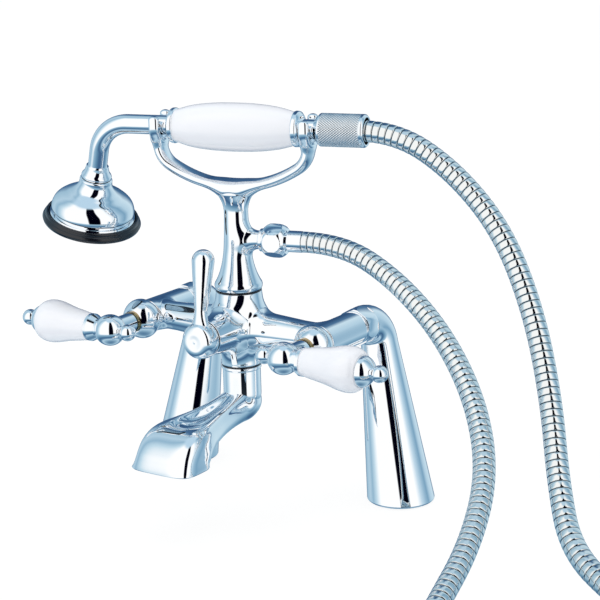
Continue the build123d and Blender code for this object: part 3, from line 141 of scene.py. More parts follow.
def arc_points(centre, first, second, radius, start, end, count):
    """Points of an arc about a centre, from the directions first and second, angles in degrees."""
    return centre + radius * spokes_of(np.radians(np.linspace(start, end, count)), first, second)


def squared_oval(angle, square, half_x, half_y):
    """Both coordinates round an oval: an ellipse at square 2, nearer to a rectangle above it."""
    c, s = np.cos(angle), np.sin(angle)
    power = 2.0 / square
    return np.sign(c) * np.abs(c) ** power * half_x, np.sign(s) * np.abs(s) ** power * half_y


def curve_through(points, count):
    """Smooth curve through points: cubic pieces that share the slope at each point."""
    points = np.asarray(points, float)
    chords = np.linalg.norm(np.diff(points, axis=0), axis=1)
    knots = np.concatenate([[0.0], np.cumsum(np.sqrt(chords))])
    slopes = np.gradient(points, knots, axis=0)
    places = np.linspace(0.0, knots[-1], count)
    piece = np.clip(np.searchsorted(knots, places, side="right") - 1, 0, len(points) - 2)
    span = (knots[piece + 1] - knots[piece])[:, None]
    share = ((places - knots[piece]) / span[:, 0])[:, None]
    ease = share * share * (3 - 2 * share)
    return (
        points[piece] * (1 - ease)
        + points[piece + 1] * ease
        + slopes[piece] * span * share * (1 - share) ** 2
        - slopes[piece + 1] * span * share**2 * (1 - share)
    )


def rounded(outline, size):
    """Outline whose corners are cut by small curves that start within a size of each corner.

    A curve takes less than half of either side, and corners that are nearly straight stay.
    """
    outline = np.asarray(outline, float)
    longest, nearly_straight = 0.45, -0.94
    result = [outline[:1]]
    steps = np.linspace(0.0, 1.0, 6)[:, None]
    for before, corner, after in zip(outline, outline[1:], outline[2:]):
        arriving, leaving = before - corner, after - corner
        back, on = np.linalg.norm(arriving), np.linalg.norm(leaving)
        if np.dot(arriving, leaving) / (back * on) < nearly_straight:
            result.append(corner[None])
            continue
        start = corner + arriving / back * min(size, back * longest)
        end = corner + leaving / on * min(size, on * longest)
        result.append((1 - steps) ** 2 * start + 2 * steps * (1 - steps) * corner + steps**2 * end)
    return np.vstack([*result, outline[-1:]])


def dense(outline, step):
    """Outline with points added so that none is further than a step from the next."""
    lengths = np.linalg.norm(np.diff(outline, axis=0), axis=1)
    counts = np.maximum(np.ceil(lengths / step).astype(int), 1)
    parts = [
        start + (end - start) * (np.arange(count) / count)[:, None]
        for start, end, count in zip(outline, outline[1:], counts)
    ]
    return np.vstack([*parts, outline[-1:]])


def outline_distance(outline, radius, place):
    """Signed distance of (radius, place) points from an outline that closes along the axis."""
    start, edge = outline[:-1], np.diff(outline, axis=0)
    spot = np.stack([radius, place], -1)[:, None, :]
    offset = spot - start
    length = np.maximum((edge**2).sum(-1), 1e-9)
    share = np.clip((offset * edge).sum(-1) / length, 0.0, 1.0)
    gap = offset - edge * share[..., None]
    nearest = np.sqrt((gap**2).sum(-1).min(-1))
    r0, t0 = outline[:-1].T
    r1, t1 = outline[1:].T
    spans = (t0 > place[:, None]) != (t1 > place[:, None])
    rise = np.where(np.abs(t1 - t0) < 1e-9, 1e-9, t1 - t0)
    meets = r0 + (place[:, None] - t0) / rise * (r1 - r0)
    inside = (spans & (radius[:, None] < meets)).sum(-1) % 2 == 1
    return np.where(inside, -nearest, nearest)


class Turned:
    """Round solid: an outline of (radius, distance along the axis) points turned about a line."""

    def __init__(self, origin, along, outline, reach=0.0):
        self.origin, self.along = np.asarray(origin, float), unit(along)
        self.outline, self.reach = np.asarray(outline, float), reach
        helper = UP if abs(self.along[2]) < 0.9 else np.array([1.0, 0.0, 0.0])
        self.side = unit(np.cross(helper, self.along))
        self.top = np.cross(self.along, self.side)

    def distance(self, points):
        """Signed distance of points from the surface."""
        offset = points - self.origin
        place = offset @ self.along
        radius = np.linalg.norm(offset - place[:, None] * self.along, axis=1)
        return outline_distance(self.outline, radius, place)

    def grid(self, step, columns):
        """Points and outward normals, rows along the outline and columns round the axis."""
        outline = dense(self.outline, step)
        slope = np.gradient(outline, axis=0)
        spokes = spokes_of(full_turn(columns), self.side, self.top)
        points = self.origin + outline[:, :1, None] * spokes + outline[:, 1:, None] * self.along
        length = np.maximum(np.linalg.norm(slope, axis=1), 1e-9)
        out, on = slope[:, 1] / length, -slope[:, 0] / length
        return points, out[:, None, None] * spokes + on[:, None, None] * self.along


class Swept:
    """Oval tube along a flat line: one half size along the line's own cross direction, one across it."""

    def __init__(self, line, side, half_side, half_across, cap, square=2.0, reach=0.0):
        self.line, self.side = np.asarray(line, float), unit(side)
        self.half_side, self.half_across = half_side, half_across
        self.cap, self.square, self.reach = cap, square, reach
        tangent = np.gradient(self.line, axis=0)
        self.tangent = tangent / np.linalg.norm(tangent, axis=1)[:, None]
        self.across = np.cross(self.tangent, self.side)

    def distance(self, points):
        """Nearly the signed distance of points from the surface, close to it."""
        near = ((points[:, None] - self.line) ** 2).sum(-1).argmin(-1)
        offset = points - self.line[near]
        x = offset @ self.side
        y = (offset * self.across[near]).sum(-1)
        along = (offset * self.tangent[near]).sum(-1)
        scaled = np.sqrt((x / self.half_side) ** 2 + (y / self.half_across) ** 2)
        slope = np.sqrt((x / self.half_side**2) ** 2 + (y / self.half_across**2) ** 2)
        gap = scaled * (scaled - 1) / np.maximum(slope, 1e-6)
        past = np.where(near == 0, -along, np.where(near == len(self.line) - 1, along, 0.0))
        return np.where(past > 0, np.hypot(np.maximum(gap, 0.0), past), gap)

    def grid(self, step, columns):
        """Points and outward normals at the line's own points, with ends rounded by smaller rings."""
        rings = 6
        x, y = squared_oval(full_turn(columns), self.square, self.half_side, self.half_across)
        swing = np.linspace(np.pi / 2, 0.0, rings + 1)[:-1]
        first = self.line[0] - self.tangent[0] * (self.cap * np.sin(swing))[:, None]
        last = self.line[-1] + self.tangent[-1] * (self.cap * np.sin(swing[::-1]))[:, None]
        line = np.vstack([first, self.line, last])[:, None]
        ends = [np.tile(self.across[end], (rings, 1)) for end in (0, -1)]
        across = np.vstack([ends[0], self.across, ends[1]])[:, None]
        scale = np.concatenate([np.cos(swing), np.ones(len(self.line)), np.cos(swing[::-1])])
        ring = x[:, None] * self.side + y[:, None] * across
        out_x, out_y = x / self.half_side**2, y / self.half_across**2
        out = out_x[:, None] * self.side + out_y[:, None] * across
        return line + ring * scale[:, None, None], out / np.linalg.norm(out, axis=2)[..., None]


def joined_mesh(name, parts):
    """One mesh of several, which are used up."""
    whole = bmesh.new()
    for part in parts:
        whole.from_mesh(part)
        bpy.data.meshes.remove(part)
    mesh = bpy.data.meshes.new(name)
    whole.to_mesh(mesh)
    whole.free()
    return mesh


def blended_mesh(name, shapes, step, columns):
    """One mesh of several solids that meet in soft fillets.

    Each point moves out along its normal by (reach - gap) squared over four times the reach, where
    gap is how much further it is from a neighbour's surface than from its own. Points inside a
    neighbour stay a quarter of the reach out, under the neighbour's own skin.
    """
    parts = []
    for shape in shapes:
        points, normals = shape.grid(step, columns)
        flat, out = points.reshape(-1, 3), normals.reshape(-1, 3)
        push = np.zeros(len(flat))
        for _ in range(6):
            moved = flat + out * push[:, None]
            wanted = np.zeros(len(flat))
            for other in shapes:
                reach = min(shape.reach, other.reach)
                if other is shape or reach <= 0:
                    continue
                near = np.clip(reach - (other.distance(moved) - push), 0.0, reach)
                wanted = np.maximum(wanted, near**2 / (4 * reach))
            push = (push + wanted) / 2
        grid = (flat + out * push[:, None]).reshape(points.shape)
        parts.append(tidy_mesh(mesh_from_grid(name, grid * MM), 35.0))
    return joined_mesh(name, parts)


def turned_mesh(name, origin, along, outline, step=0.8, columns=128, sharp_degrees=32.0):
    """Turned mesh of one outline, which runs from the axis to the axis or closes on itself."""
    points, _ = Turned(origin, along, outline).grid(step, columns)
    return tidy_mesh(mesh_from_grid(name, points * MM), sharp_degrees)


def add_piece(name, mesh, body, slot, *nodes):
    """Put a mesh on its body as a piece in its slot's material, and hide the nodes it stands for."""
    mesh.materials.append(material_for(slot))
    mesh_object = bpy.data.objects.new(name, mesh)
    bpy.context.scene.collection.objects.link(mesh_object)
    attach(mesh_object, body)
    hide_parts(*nodes)
    finished_nodes.update(nodes)


def tidy_mesh(mesh, sharp_degrees):
    """Merge doubles, close poles, point faces outwards and shade smooth up to an angle."""
    work = bmesh.new()
    work.from_mesh(mesh)
    bmesh.ops.remove_doubles(work, verts=work.verts, dist=1e-6)
    bmesh.ops.dissolve_degenerate(work, edges=work.edges, dist=1e-7)
    bmesh.ops.recalc_face_normals(work, faces=work.faces)
    limit = np.radians(sharp_degrees)
    for face in work.faces:
        face.smooth = True
    for edge in work.edges:
        edge.smooth = not (len(edge.link_faces) == 2 and edge.calc_face_angle(0.0) > limit)
    work.to_mesh(mesh)
    work.free()
    return mesh


def smooth_copy(node, sharp_degrees=28.0):
    """A node's own surface with its doubles merged and its round faces shaded smooth."""
    mesh = frame["nodes"][node].data.copy()
    mesh.name = f"{node}_surface"
    mesh.materials.clear()
    return tidy_mesh(mesh, sharp_degrees)


def add_node(nodes, kind, values=None, **settings):
    """New node of a kind with its settings and its input values."""
    node = nodes.new(f"ShaderNode{kind}")
    for label, value in settings.items():
        setattr(node, label, value)
    for label, value in (values or {}).items():
        node.inputs[label].default_value = value
    return node


def group_of(name, sockets_in, sockets_out):
    """A new shader node group with named inputs and outputs."""
    group = bpy.data.node_groups.new(name, "ShaderNodeTree")
    for label, kind, value in sockets_in:
        socket = group.interface.new_socket(label, in_out="INPUT", socket_type=kind)
        socket.default_value = value
    for label, kind in sockets_out:
        group.interface.new_socket(label, in_out="OUTPUT", socket_type=kind)
    return group, group.nodes.new("NodeGroupInput"), group.nodes.new("NodeGroupOutput")


def polish_group():
    """Uneven polish: soft noise on Object coordinates gives a small height and a roughness."""
    group, given, out = group_of(
        "uneven_polish",
        [
            ("Scale", "NodeSocketFloat", 60.0),
            ("Roughness Low", "NodeSocketFloat", 0.02),
            ("Roughness High", "NodeSocketFloat", 0.08),
        ],
        [("Roughness", "NodeSocketFloat"), ("Height", "NodeSocketFloat")],
    )
    nodes, links = group.nodes, group.links
    place = add_node(nodes, "TexCoord")
    noise = add_node(nodes, "TexNoise", {"Detail": 3.0})
    spread = add_node(nodes, "MapRange")
    links.new(place.outputs["Object"], noise.inputs["Vector"])
    links.new(given.outputs["Scale"], noise.inputs["Scale"])
    links.new(noise.outputs["Fac"], spread.inputs["Value"])
    links.new(given.outputs["Roughness Low"], spread.inputs["To Min"])
    links.new(given.outputs["Roughness High"], spread.inputs["To Max"])
    links.new(spread.outputs["Result"], out.inputs["Roughness"])
    links.new(noise.outputs["Fac"], out.inputs["Height"])
    return group


def blended_colour(nodes, links, factor, below, above):
    """Mix of two colour outputs by a factor output."""
    mix = add_node(nodes, "Mix", data_type="RGBA")
    links.new(factor, mix.inputs["Factor"])
    links.new(below, mix.inputs["A"])
    links.new(above, mix.inputs["B"])
    return mix.outputs["Result"]


def painted_hollow_shade_group():
    """Painted shade in hollows: colour that goes evenly from the dark painted shade to bright as a share
    rises from a start to an end.
    """
    group, given, out = group_of(
        "painted_hollow_shade",
        [
            ("Share", "NodeSocketFloat", 1.0),
            ("Start", "NodeSocketFloat", 0.0),
            ("End", "NodeSocketFloat", 1.0),
            ("Dark", "NodeSocketColor", (0.0, 0.0, 0.0, 1.0)),
            ("Bright", "NodeSocketColor", (1.0, 1.0, 1.0, 1.0)),
        ],
        [("Colour", "NodeSocketColor")],
    )
    nodes, links = group.nodes, group.links
    spread = add_node(nodes, "MapRange")
    for label, socket in (("Share", "Value"), ("Start", "From Min"), ("End", "From Max")):
        links.new(given.outputs[label], spread.inputs[socket])
    dark, bright = given.outputs["Dark"], given.outputs["Bright"]
    colour = blended_colour(nodes, links, spread.outputs["Result"], dark, bright)
    links.new(colour, out.inputs["Colour"])
    return group


def add_group(nodes, name, make, values):
    """Node of a shared group, which is made when first asked for, with its input values."""
    return add_node(nodes, "Group", values, node_tree=bpy.data.node_groups.get(name) or make())


# Finish of each slot: material, colour, metallic, coat and its roughness, then the uneven polish:
# scale of its noise, lowest and highest roughness, depth in metres
FINISHES = {
    "chrome": ("polished_chrome", (0.95, 0.97, 0.99), 1.0, 0.0, 0.03, 45.0, 0.015, 0.05, 0.00003),
    "knurled_chrome": ("knurled_chrome", (0.9, 0.93, 0.95), 1.0, 0.0, 0.03, 300.0, 0.06, 0.14, 0.00003),
    "porcelain": ("glazed_porcelain", (0.955, 0.955, 0.975), 0.0, 0.5, 0.05, 90.0, 0.1, 0.2, 0.00004),
    "brass": ("gland_brass", (0.42, 0.3, 0.14), 1.0, 0.0, 0.03, 160.0, 0.12, 0.28, 0.00003),
    "disc_ceramic": ("disc_ceramic", (0.85, 0.84, 0.8), 0.0, 0.0, 0.03, 200.0, 0.3, 0.45, 0.00005),
    "rubber": ("black_rubber", (0.005, 0.007, 0.012), 0.0, 0.2, 0.03, 220.0, 0.18, 0.3, 0.00005),
    "steel": ("screw_steel", (0.55, 0.56, 0.58), 1.0, 0.0, 0.03, 160.0, 0.2, 0.35, 0.00003),
    "rose_steel": ("rose_steel", (0.62, 0.66, 0.7), 1.0, 0.0, 0.03, 160.0, 0.15, 0.3, 0.00003),
    "plastic": ("straightener_plastic", (0.7, 0.71, 0.72), 0.0, 0.0, 0.03, 200.0, 0.35, 0.5, 0.00005),
    "hose_steel": ("hose_strip_steel", (0.87, 0.885, 0.875), 1.0, 0.0, 0.03, 120.0, 0.03, 0.09, 0.00002),
}

# Slots with painted shade in their hollows: the dark colour painted down in the grooves in place of their
# shade, and the shares between which it turns to the slot's own
HOLLOW_SHADE_PAINT = {
    "knurled_chrome": ((0.02, 0.025, 0.03), 0.2, 0.45),
    "hose_steel": ((0.04, 0.055, 0.065), 0.04, 0.085),
}
made_materials = {}


def make_material(slot):
    """Principled material with its constants on the shader's own sockets and an uneven polish."""
    name, colour, metallic, coat, coat_roughness, scale, low, high, depth = FINISHES[slot]
    material = bpy.data.materials.new(name)
    material.use_nodes = True
    nodes, links = material.node_tree.nodes, material.node_tree.links
    shader = nodes["Principled BSDF"]
    constants = {
        "Base Color": (*colour, 1.0), "Metallic": metallic, "IOR": 1.5,
        "Coat Weight": coat, "Coat Roughness": coat_roughness,
    }
    for label, value in constants.items():
        shader.inputs[label].default_value = value
    polish = add_group(
        nodes, "uneven_polish", polish_group, {"Scale": scale, "Roughness Low": low, "Roughness High": high}
    )
    bump = add_node(nodes, "Bump", {"Strength": 0.2, "Distance": depth})
    links.new(polish.outputs["Roughness"], shader.inputs["Roughness"])
    links.new(polish.outputs["Height"], bump.inputs["Height"])
    links.new(bump.outputs["Normal"], shader.inputs["Normal"])
    # Painted shade: these slots get a base colour darkened in their grooves and recesses
    if slot in HOLLOW_SHADE_PAINT:
        paint_hollow_shade(nodes, links, shader, colour, *HOLLOW_SHADE_PAINT[slot])
    return material


def paint_hollow_shade(nodes, links, shader, bright, dark, start, end):
    """Base colour from a dark painted shade to bright by the V of the UV layer called rib."""
    uv = add_node(nodes, "UVMap", uv_map="rib")
    split = add_node(nodes, "SeparateXYZ")
    values = {"Start": start, "End": end, "Dark": (*dark, 1.0), "Bright": (*bright, 1.0)}
    shade = add_group(nodes, "painted_hollow_shade", painted_hollow_shade_group, values)
    links.new(uv.outputs["UV"], split.inputs["Vector"])
    links.new(split.outputs["Y"], shade.inputs["Share"])
    links.new(shade.outputs["Colour"], shader.inputs["Base Color"])


def material_for(slot):
    """The one material of a slot, made when first asked for."""
    if slot not in made_materials:
        made_materials[slot] = make_material(slot)
    return made_materials[slot]


def body_of_node(node):
    """Name of the body that carries a node."""
    for body, members in frame["record"]["behaviour"]["bodies"].items():
        if node in members:
            return body
    raise ValueError(f"no body holds {node}")


SLOT_OF = {row["node"]: row["material_slot"] for row in frame["record"]["subparts"]}


def dress_nodes(nodes):
    """Replace nodes by their smooth-shaded copies in their own finish."""
    for node in nodes:
        add_piece(f"{node}_surface", smooth_copy(node), body_of_node(node), SLOT_OF[node], node)


def coil_points():
    """Control points of the coil's turns: a regular polygon round the turns, climbing one layer."""
    half = np.radians(COIL_STEP_DEGREES / 2)
    steps = np.arange(COIL_STEP_DEGREES / 2, COIL_TURN_DEGREES, COIL_STEP_DEGREES)
    swing = np.radians(COIL_ENTRY_DEGREES + steps)
    height = np.interp(steps, CLIMB_DEGREES, (COIL_LOW, COIL_HIGH))
    outer = COIL_RADIUS / np.cos(half)
    x = COIL_CENTRE[0] + outer * np.cos(swing)
    y = COIL_CENTRE[1] + outer * np.sin(swing)
    return np.stack([x, y, height], 1)


def hose_line():
    """Centreline of the hose in metres, read from one smooth NURBS spline."""
    route = np.vstack([UPPER_ROUTE, coil_points()[::-1], LOWER_ROUTE[::-1]]) * MM
    curve = bpy.data.curves.new("hose_route", "CURVE")
    curve.dimensions = "3D"
    curve.resolution_u = 24
    spline = curve.splines.new("NURBS")
    spline.points.add(len(route) - 1)
    spline.points.foreach_set("co", np.hstack([route, np.ones((len(route), 1))]).ravel())
    spline.order_u = 3
    spline.use_endpoint_u = True
    guide = bpy.data.objects.new("hose_route", curve)
    bpy.context.scene.collection.objects.link(guide)
    line = bpy.data.meshes.new_from_object(guide)
    points = np.empty(len(line.vertices) * 3)
    line.vertices.foreach_get("co", points)
    bpy.data.objects.remove(guide)
    bpy.data.meshes.remove(line)
    bpy.data.curves.remove(curve)
    return points.reshape(-1, 3)


def carried_frames(points):
    """Two cross directions along a line, turned as little as possible."""
    tangents = np.gradient(points, axis=0)
    tangents /= np.linalg.norm(tangents, axis=1)[:, None]
    sides = [unit(np.cross(tangents[0], UP))]
    for tangent in tangents[1:]:
        sides.append(unit(sides[-1] - tangent * np.dot(sides[-1], tangent)))
    sides = np.array(sides)
    return sides, np.cross(tangents, sides)


def resample(points, places):
    """Points of a line at given distances along it."""
    steps = np.linalg.norm(np.diff(points, axis=0), axis=1)
    along = np.concatenate([[0.0], np.cumsum(steps)])
    return np.stack([np.interp(places, along, points[:, axis]) for axis in range(3)], 1)


# Studio walls round the object as metal sees them: share of a full turn (0.5 faces the camera), colour
WALL_STOPS = [
    (0.0, (0.03, 0.08, 0.18)), (0.045, (0.07, 0.16, 0.3)), (0.08, (0.34, 0.52, 0.65)),
    (0.15, (0.46, 0.63, 0.75)), (0.2, (0.3, 0.48, 0.62)), (0.25, (0.56, 0.73, 0.83)),
    (0.3, (1.05, 1.05, 1.05)), (0.484, (1.05, 1.05, 1.05)), (0.49, (0.0, 0.0, 0.004)),
    (0.574, (0.0, 0.0, 0.004)), (0.58, (1.05, 1.05, 1.05)), (0.655, (1.05, 1.05, 1.05)),
    (0.7, (0.56, 0.72, 0.83)), (0.745, (0.33, 0.51, 0.65)), (0.785, (0.2, 0.37, 0.52)),
    (0.83, (0.46, 0.64, 0.76)), (0.9, (0.6, 0.76, 0.85)), (0.95, (0.08, 0.18, 0.32)),
    (1.0, (0.03, 0.08, 0.18)),
]

# Heights in the studio, from -1 straight down to 1 straight up: the walls' foot, and the bands in which
# the ground gives way to the walls and the walls to the roof
WALL_FOOT = -0.26
GROUND_EDGE = (-0.42, -0.28)
ROOF_EDGE = (0.9, 0.97)
ROOF_COLOUR = (0.5, 0.68, 0.82)

# Floor as the camera sees it: the colour that catches light and shadow, and the even glow over it
FLOOR_LIT = (0.17, 0.17, 0.165)
FLOOR_GLOW = 0.87
FLOOR_HALF_SIZE = 6.0
FLOOR_DROP = 0.0004

# Lamps: place, size in metres and power in watts, and the point that all of them face
LAMPS = {"key": ((-1.0, -1.5, 1.5), 1.2, 7.0), "top": ((0.0, 0.2, 2.0), 1.4, 6.0)}
LAMP_TARGET = (0.0, -0.05, 0.12)

# Studio ground as metal sees it: share of the way from straight down up to the walls' foot, colour
GROUND_STOPS = [
    (0.0, (0.1, 0.21, 0.34)), (0.12, (0.28, 0.45, 0.58)), (0.24, (0.46, 0.63, 0.75)),
    (0.34, (0.12, 0.25, 0.39)), (0.46, (0.05, 0.12, 0.24)), (0.58, (0.12, 0.26, 0.4)),
    (0.76, (0.28, 0.46, 0.6)), (1.0, (0.44, 0.62, 0.74)),
]


# One rib of the hose: places along its pitch, and the share of the groove's depth at each
RIB_PLACES = np.array([0.0, 0.05, 0.08, 0.15, 0.35, 0.65, 0.85, 0.92, 0.95])
RIB_DEPTHS = np.array([1.0, 1.0, 0.3, 0.1, 0.02, 0.0, 0.08, 0.3, 1.0])


class HoseSettings(bpy.types.PropertyGroup):
    """Sizes of the ribbed hose."""

    diameter: bpy.props.FloatProperty(
        name="Diameter", description="Outside diameter of the hose", default=13.5 * MM, unit="LENGTH"
    )
    length: bpy.props.FloatProperty(
        name="Length", description="Real length of the hose", default=1.5, unit="LENGTH"
    )
    rib_pitch: bpy.props.FloatProperty(
        name="Rib pitch", description="Distance from rib to rib", default=4.5 * MM, unit="LENGTH"
    )
    groove_depth: bpy.props.FloatProperty(
        name="Groove depth", description="Depth of the groove between ribs", default=0.45 * MM, unit="LENGTH"
    )
    sides: bpy.props.IntProperty(
        name="Sides", description="Facets round the hose", default=28, min=8
    )


class StageSettings(bpy.types.PropertyGroup):
    """Camera and studio values."""

    azimuth: bpy.props.FloatProperty(
        name="Azimuth", description="Camera's turn from the front",
        default=np.radians(34.543), subtype="ANGLE",
    )
    elevation: bpy.props.FloatProperty(
        name="Elevation", description="Camera's height angle", default=np.radians(14.424), subtype="ANGLE"
    )
    roll: bpy.props.FloatProperty(
        name="Roll", description="Camera's roll", default=np.radians(-1.6), subtype="ANGLE"
    )
    distance: bpy.props.FloatProperty(
        name="Distance", description="Camera to its target", default=1.269951, unit="LENGTH"
    )
    target: bpy.props.FloatVectorProperty(
        name="Target", description="Point that the camera looks at",
        default=(0.012432, 0.0, 0.12595), subtype="TRANSLATION",
    )
    lens: bpy.props.FloatProperty(
        name="Lens", description="Focal length in millimetres", default=114.0
    )
    soft_light: bpy.props.FloatProperty(
        name="Soft light", description="Strength of the even light on matt surfaces", default=0.86, min=0.0
    )
    floor_colour: bpy.props.FloatVectorProperty(
        name="Floor colour", description="Colour of the plain floor",
        default=(0.9, 0.92, 0.94), subtype="COLOR",
    )


class MIXER_OT_hose(bpy.types.Operator):
    """Ribbed metal hose: rings of a rib profile carried along the hose's centreline"""

    bl_idname = "mixer.add_hose"
    bl_label = "Add hose"

    def execute(self, context):
        settings = context.scene.mixer_hose
        line = hose_line()
        total = np.linalg.norm(np.diff(line, axis=0), axis=1).sum()
        ribs = int(round(total / settings.rib_pitch))
        places = (np.arange(ribs)[:, None] + RIB_PLACES).ravel()
        depth = np.tile(RIB_DEPTHS, ribs) * settings.groove_depth
        places = np.append(places, ribs) * total / ribs
        depth = np.append(depth, settings.groove_depth)
        centres = resample(line, places)
        sides, ups = carried_frames(centres)
        angle = full_turn(settings.sides)
        radius = (settings.diameter / 2 - depth)[:, None, None]
        ring = sides[:, None] * np.cos(angle)[None, :, None] + ups[:, None] * np.sin(angle)[None, :, None]
        skin = centres[:, None] + ring * radius
        first, last = (np.repeat(end[:, None], settings.sides, 1) for end in (centres[:1], centres[-1:]))
        mesh = mesh_from_grid("ribbed_hose", np.concatenate([first, skin, last]))
        # Painted shade: the share falls to nothing in the grooves between ribs and at the ends, where the
        # material paints the hose dark
        shares = np.concatenate([[0.0], np.tile(0.5 - np.abs(RIB_PLACES - 0.5), ribs), [0.0, 0.0]])
        write_painted_shade(mesh, settings.sides, np.repeat(shares, settings.sides))
        tidy_mesh(mesh, 80.0)
        mesh.materials.append(material_for("hose_steel"))
        hose = bpy.data.objects.new("ribbed_hose", mesh)
        bpy.context.scene.collection.objects.link(hose)
        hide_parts("hose_upper_run", "hose_coil", "hose_lower_run")
        finished_nodes.update(("hose_upper_run", "hose_coil", "hose_lower_run"))
        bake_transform(hose)
        return {"FINISHED"}


# Outlines of the body's round solids: radius and distance along their axes, in millimetres
COLUMN_OUTLINE = [
    (0, 94), (13.0, 94), (13.0, 104), (13.6, 112), (15.2, 119), (16.6, 126), (16.4, 131), (15.4, 137),
    (15.0, 143), (0, 143),
]
HOUSING_OUTLINE = [
    (0, 46), (15.0, 46), (14.6, 60), (11.8, 88.2), (11.8, 89.0), (8.4, 89.0), (8.4, 86), (0, 86),
]
ARM_OUTLINE = [(0, 4), (11.8, 4), (12.0, 12), (9.6, 50), (9.4, 60), (9.2, 64), (0, 64)]
BARREL_OUTLINE = [
    (0, 14.6), (9.4, 14.6), (9.4, 21.5), (11.0, 21.6), (11.0, 61.6), (8.8, 61.6), (8.8, 58), (0, 58),
]
HOUSING_RISE = 0.5
BONNET_FORWARD = 62.0


class BodySettings(bpy.types.PropertyGroup):
    """Sizes of the cast body and its soft fillets, in millimetres."""

    valve_spacing: bpy.props.FloatProperty(
        name="Valve spacing", description="Between the valves", default=137.0
    )
    valve_height: bpy.props.FloatProperty(
        name="Valve height", description="Height of the valves", default=119.0
    )
    forward: bpy.props.FloatProperty(
        name="Forward", description="Body in front of the legs", default=BODY_FORWARD
    )
    column_fillet: bpy.props.FloatProperty(
        name="Column fillet", description="Reach of the fillets", default=11.0
    )
    barrel_fillet: bpy.props.FloatProperty(
        name="Barrel fillet", description="Reach at the barrels", default=4.0
    )
    dome_radius: bpy.props.FloatProperty(
        name="Dome radius", description="Widest part of the bonnets", default=13.3
    )


class MIXER_OT_body(bpy.types.Operator):
    """Cast body and bonnets: round solids joined by soft fillets"""

    bl_idname = "mixer.add_body"
    bl_label = "Add body"

    def execute(self, context):
        settings = context.scene.mixer_body
        height, reach, dome = settings.valve_height, settings.column_fillet, settings.dome_radius
        shapes = [
            Turned((0.0, -settings.forward, 0.0), UP, rounded(COLUMN_OUTLINE, 0.8), reach),
            Turned((0.0, 0.0, height + HOUSING_RISE), FORWARD, rounded(HOUSING_OUTLINE, 0.7), reach),
        ]
        for side, _ in VALVES:
            start = (0.0, -settings.forward, height)
            shapes.append(Turned(start, (side, 0.0, 0.0), rounded(ARM_OUTLINE, 0.6), reach))
            valve = (side * settings.valve_spacing / 2, 0.0, height)
            shapes.append(Turned(valve, FORWARD, rounded(BARREL_OUTLINE, 0.8), settings.barrel_fillet))
        body = blended_mesh("mixer_body", shapes, 0.9, 120)
        add_piece("mixer_body_surface", body, "root", "chrome", "mixer_body")
        skin = curve_through(
            [
                (10.3, -0.3), (dome * 0.84, 1.1), (dome * 0.96, 3.4), (dome, 6.2), (dome * 0.95, 9.4),
                (dome * 0.8, 12.9), (8.6, 15.2), (7.6, 16.0),
            ],
            40,
        )
        foot, top = [(0, -3.0), (9.6, -3.0), (9.6, -0.3)], [(5.6, 16.0), (5.6, 12.4), (0, 12.4)]
        outline = np.vstack([foot, skin, top])
        for side, label in VALVES:
            valve = (side * settings.valve_spacing / 2, -BONNET_FORWARD, height)
            bonnet = turned_mesh("bonnet", valve, FORWARD, outline, 0.8, 128, 35.0)
            add_piece(f"{label}_bonnet_surface", bonnet, "root", "chrome", f"{label}_valve_bonnet")
        return {"FINISHED"}


# Spout's neck: radius of its tube and height of the middle of its ball-shaped foot
NECK_RADIUS, NECK_FOOT = 12.5, 74.0

# Spout stations: forward of the body's middle, height, tilt, half width, half depth, valley, squareness
SPOUT_STATIONS = [
    (-12.4, 68.6, 0, 0.1, 0.1, 0.0, 2.0), (-11.0, 68.4, 0, 5.8, 5.8, 0.0, 2.0),
    (-7.5, 68.2, 0, 10.0, 10.0, 0.0, 2.0), (0.0, 67.7, 0, 12.5, 12.4, 0.0, 2.0),
    (12.0, 66.3, 4, 11.8, 11.0, 2.0, 2.3), (24.0, 65.0, 4, 12.0, 10.2, 4.6, 2.6),
    (38.0, 63.4, 4, 14.0, 10.0, 5.6, 2.9), (51.0, 62.0, 8, 17.4, 10.2, 4.8, 3.2),
    (60.0, 60.8, 17, 20.2, 10.9, 2.4, 3.4), (66.8, 58.6, 34, 21.6, 12.6, 0.5, 3.7),
    (72.0, 55.4, 57, 22.1, 14.1, 0.0, 4.0), (74.9, 52.0, 73, 22.2, 14.8, 0.0, 4.2),
    (76.3, 49.8, 81, 22.4, 14.9, 0.0, 4.3), (77.3, 48.0, 86, 22.8, 15.2, 0.0, 4.3),
    (78.1, 46.8, 89, 23.3, 15.5, 0.0, 4.2), (78.6, 46.0, 90, 23.8, 15.8, 0.0, 4.1),
]


class SpoutSettings(bpy.types.PropertyGroup):
    """Sizes of the spout's mouth, in millimetres."""

    mouth_wall: bpy.props.FloatProperty(name="Mouth wall", description="Wall round the mouth", default=3.4)
    cup_depth: bpy.props.FloatProperty(name="Cup depth", description="Depth inside the mouth", default=5.0)
    valley_width: bpy.props.FloatProperty(
        name="Valley width", description="Share of the half width", default=0.5
    )


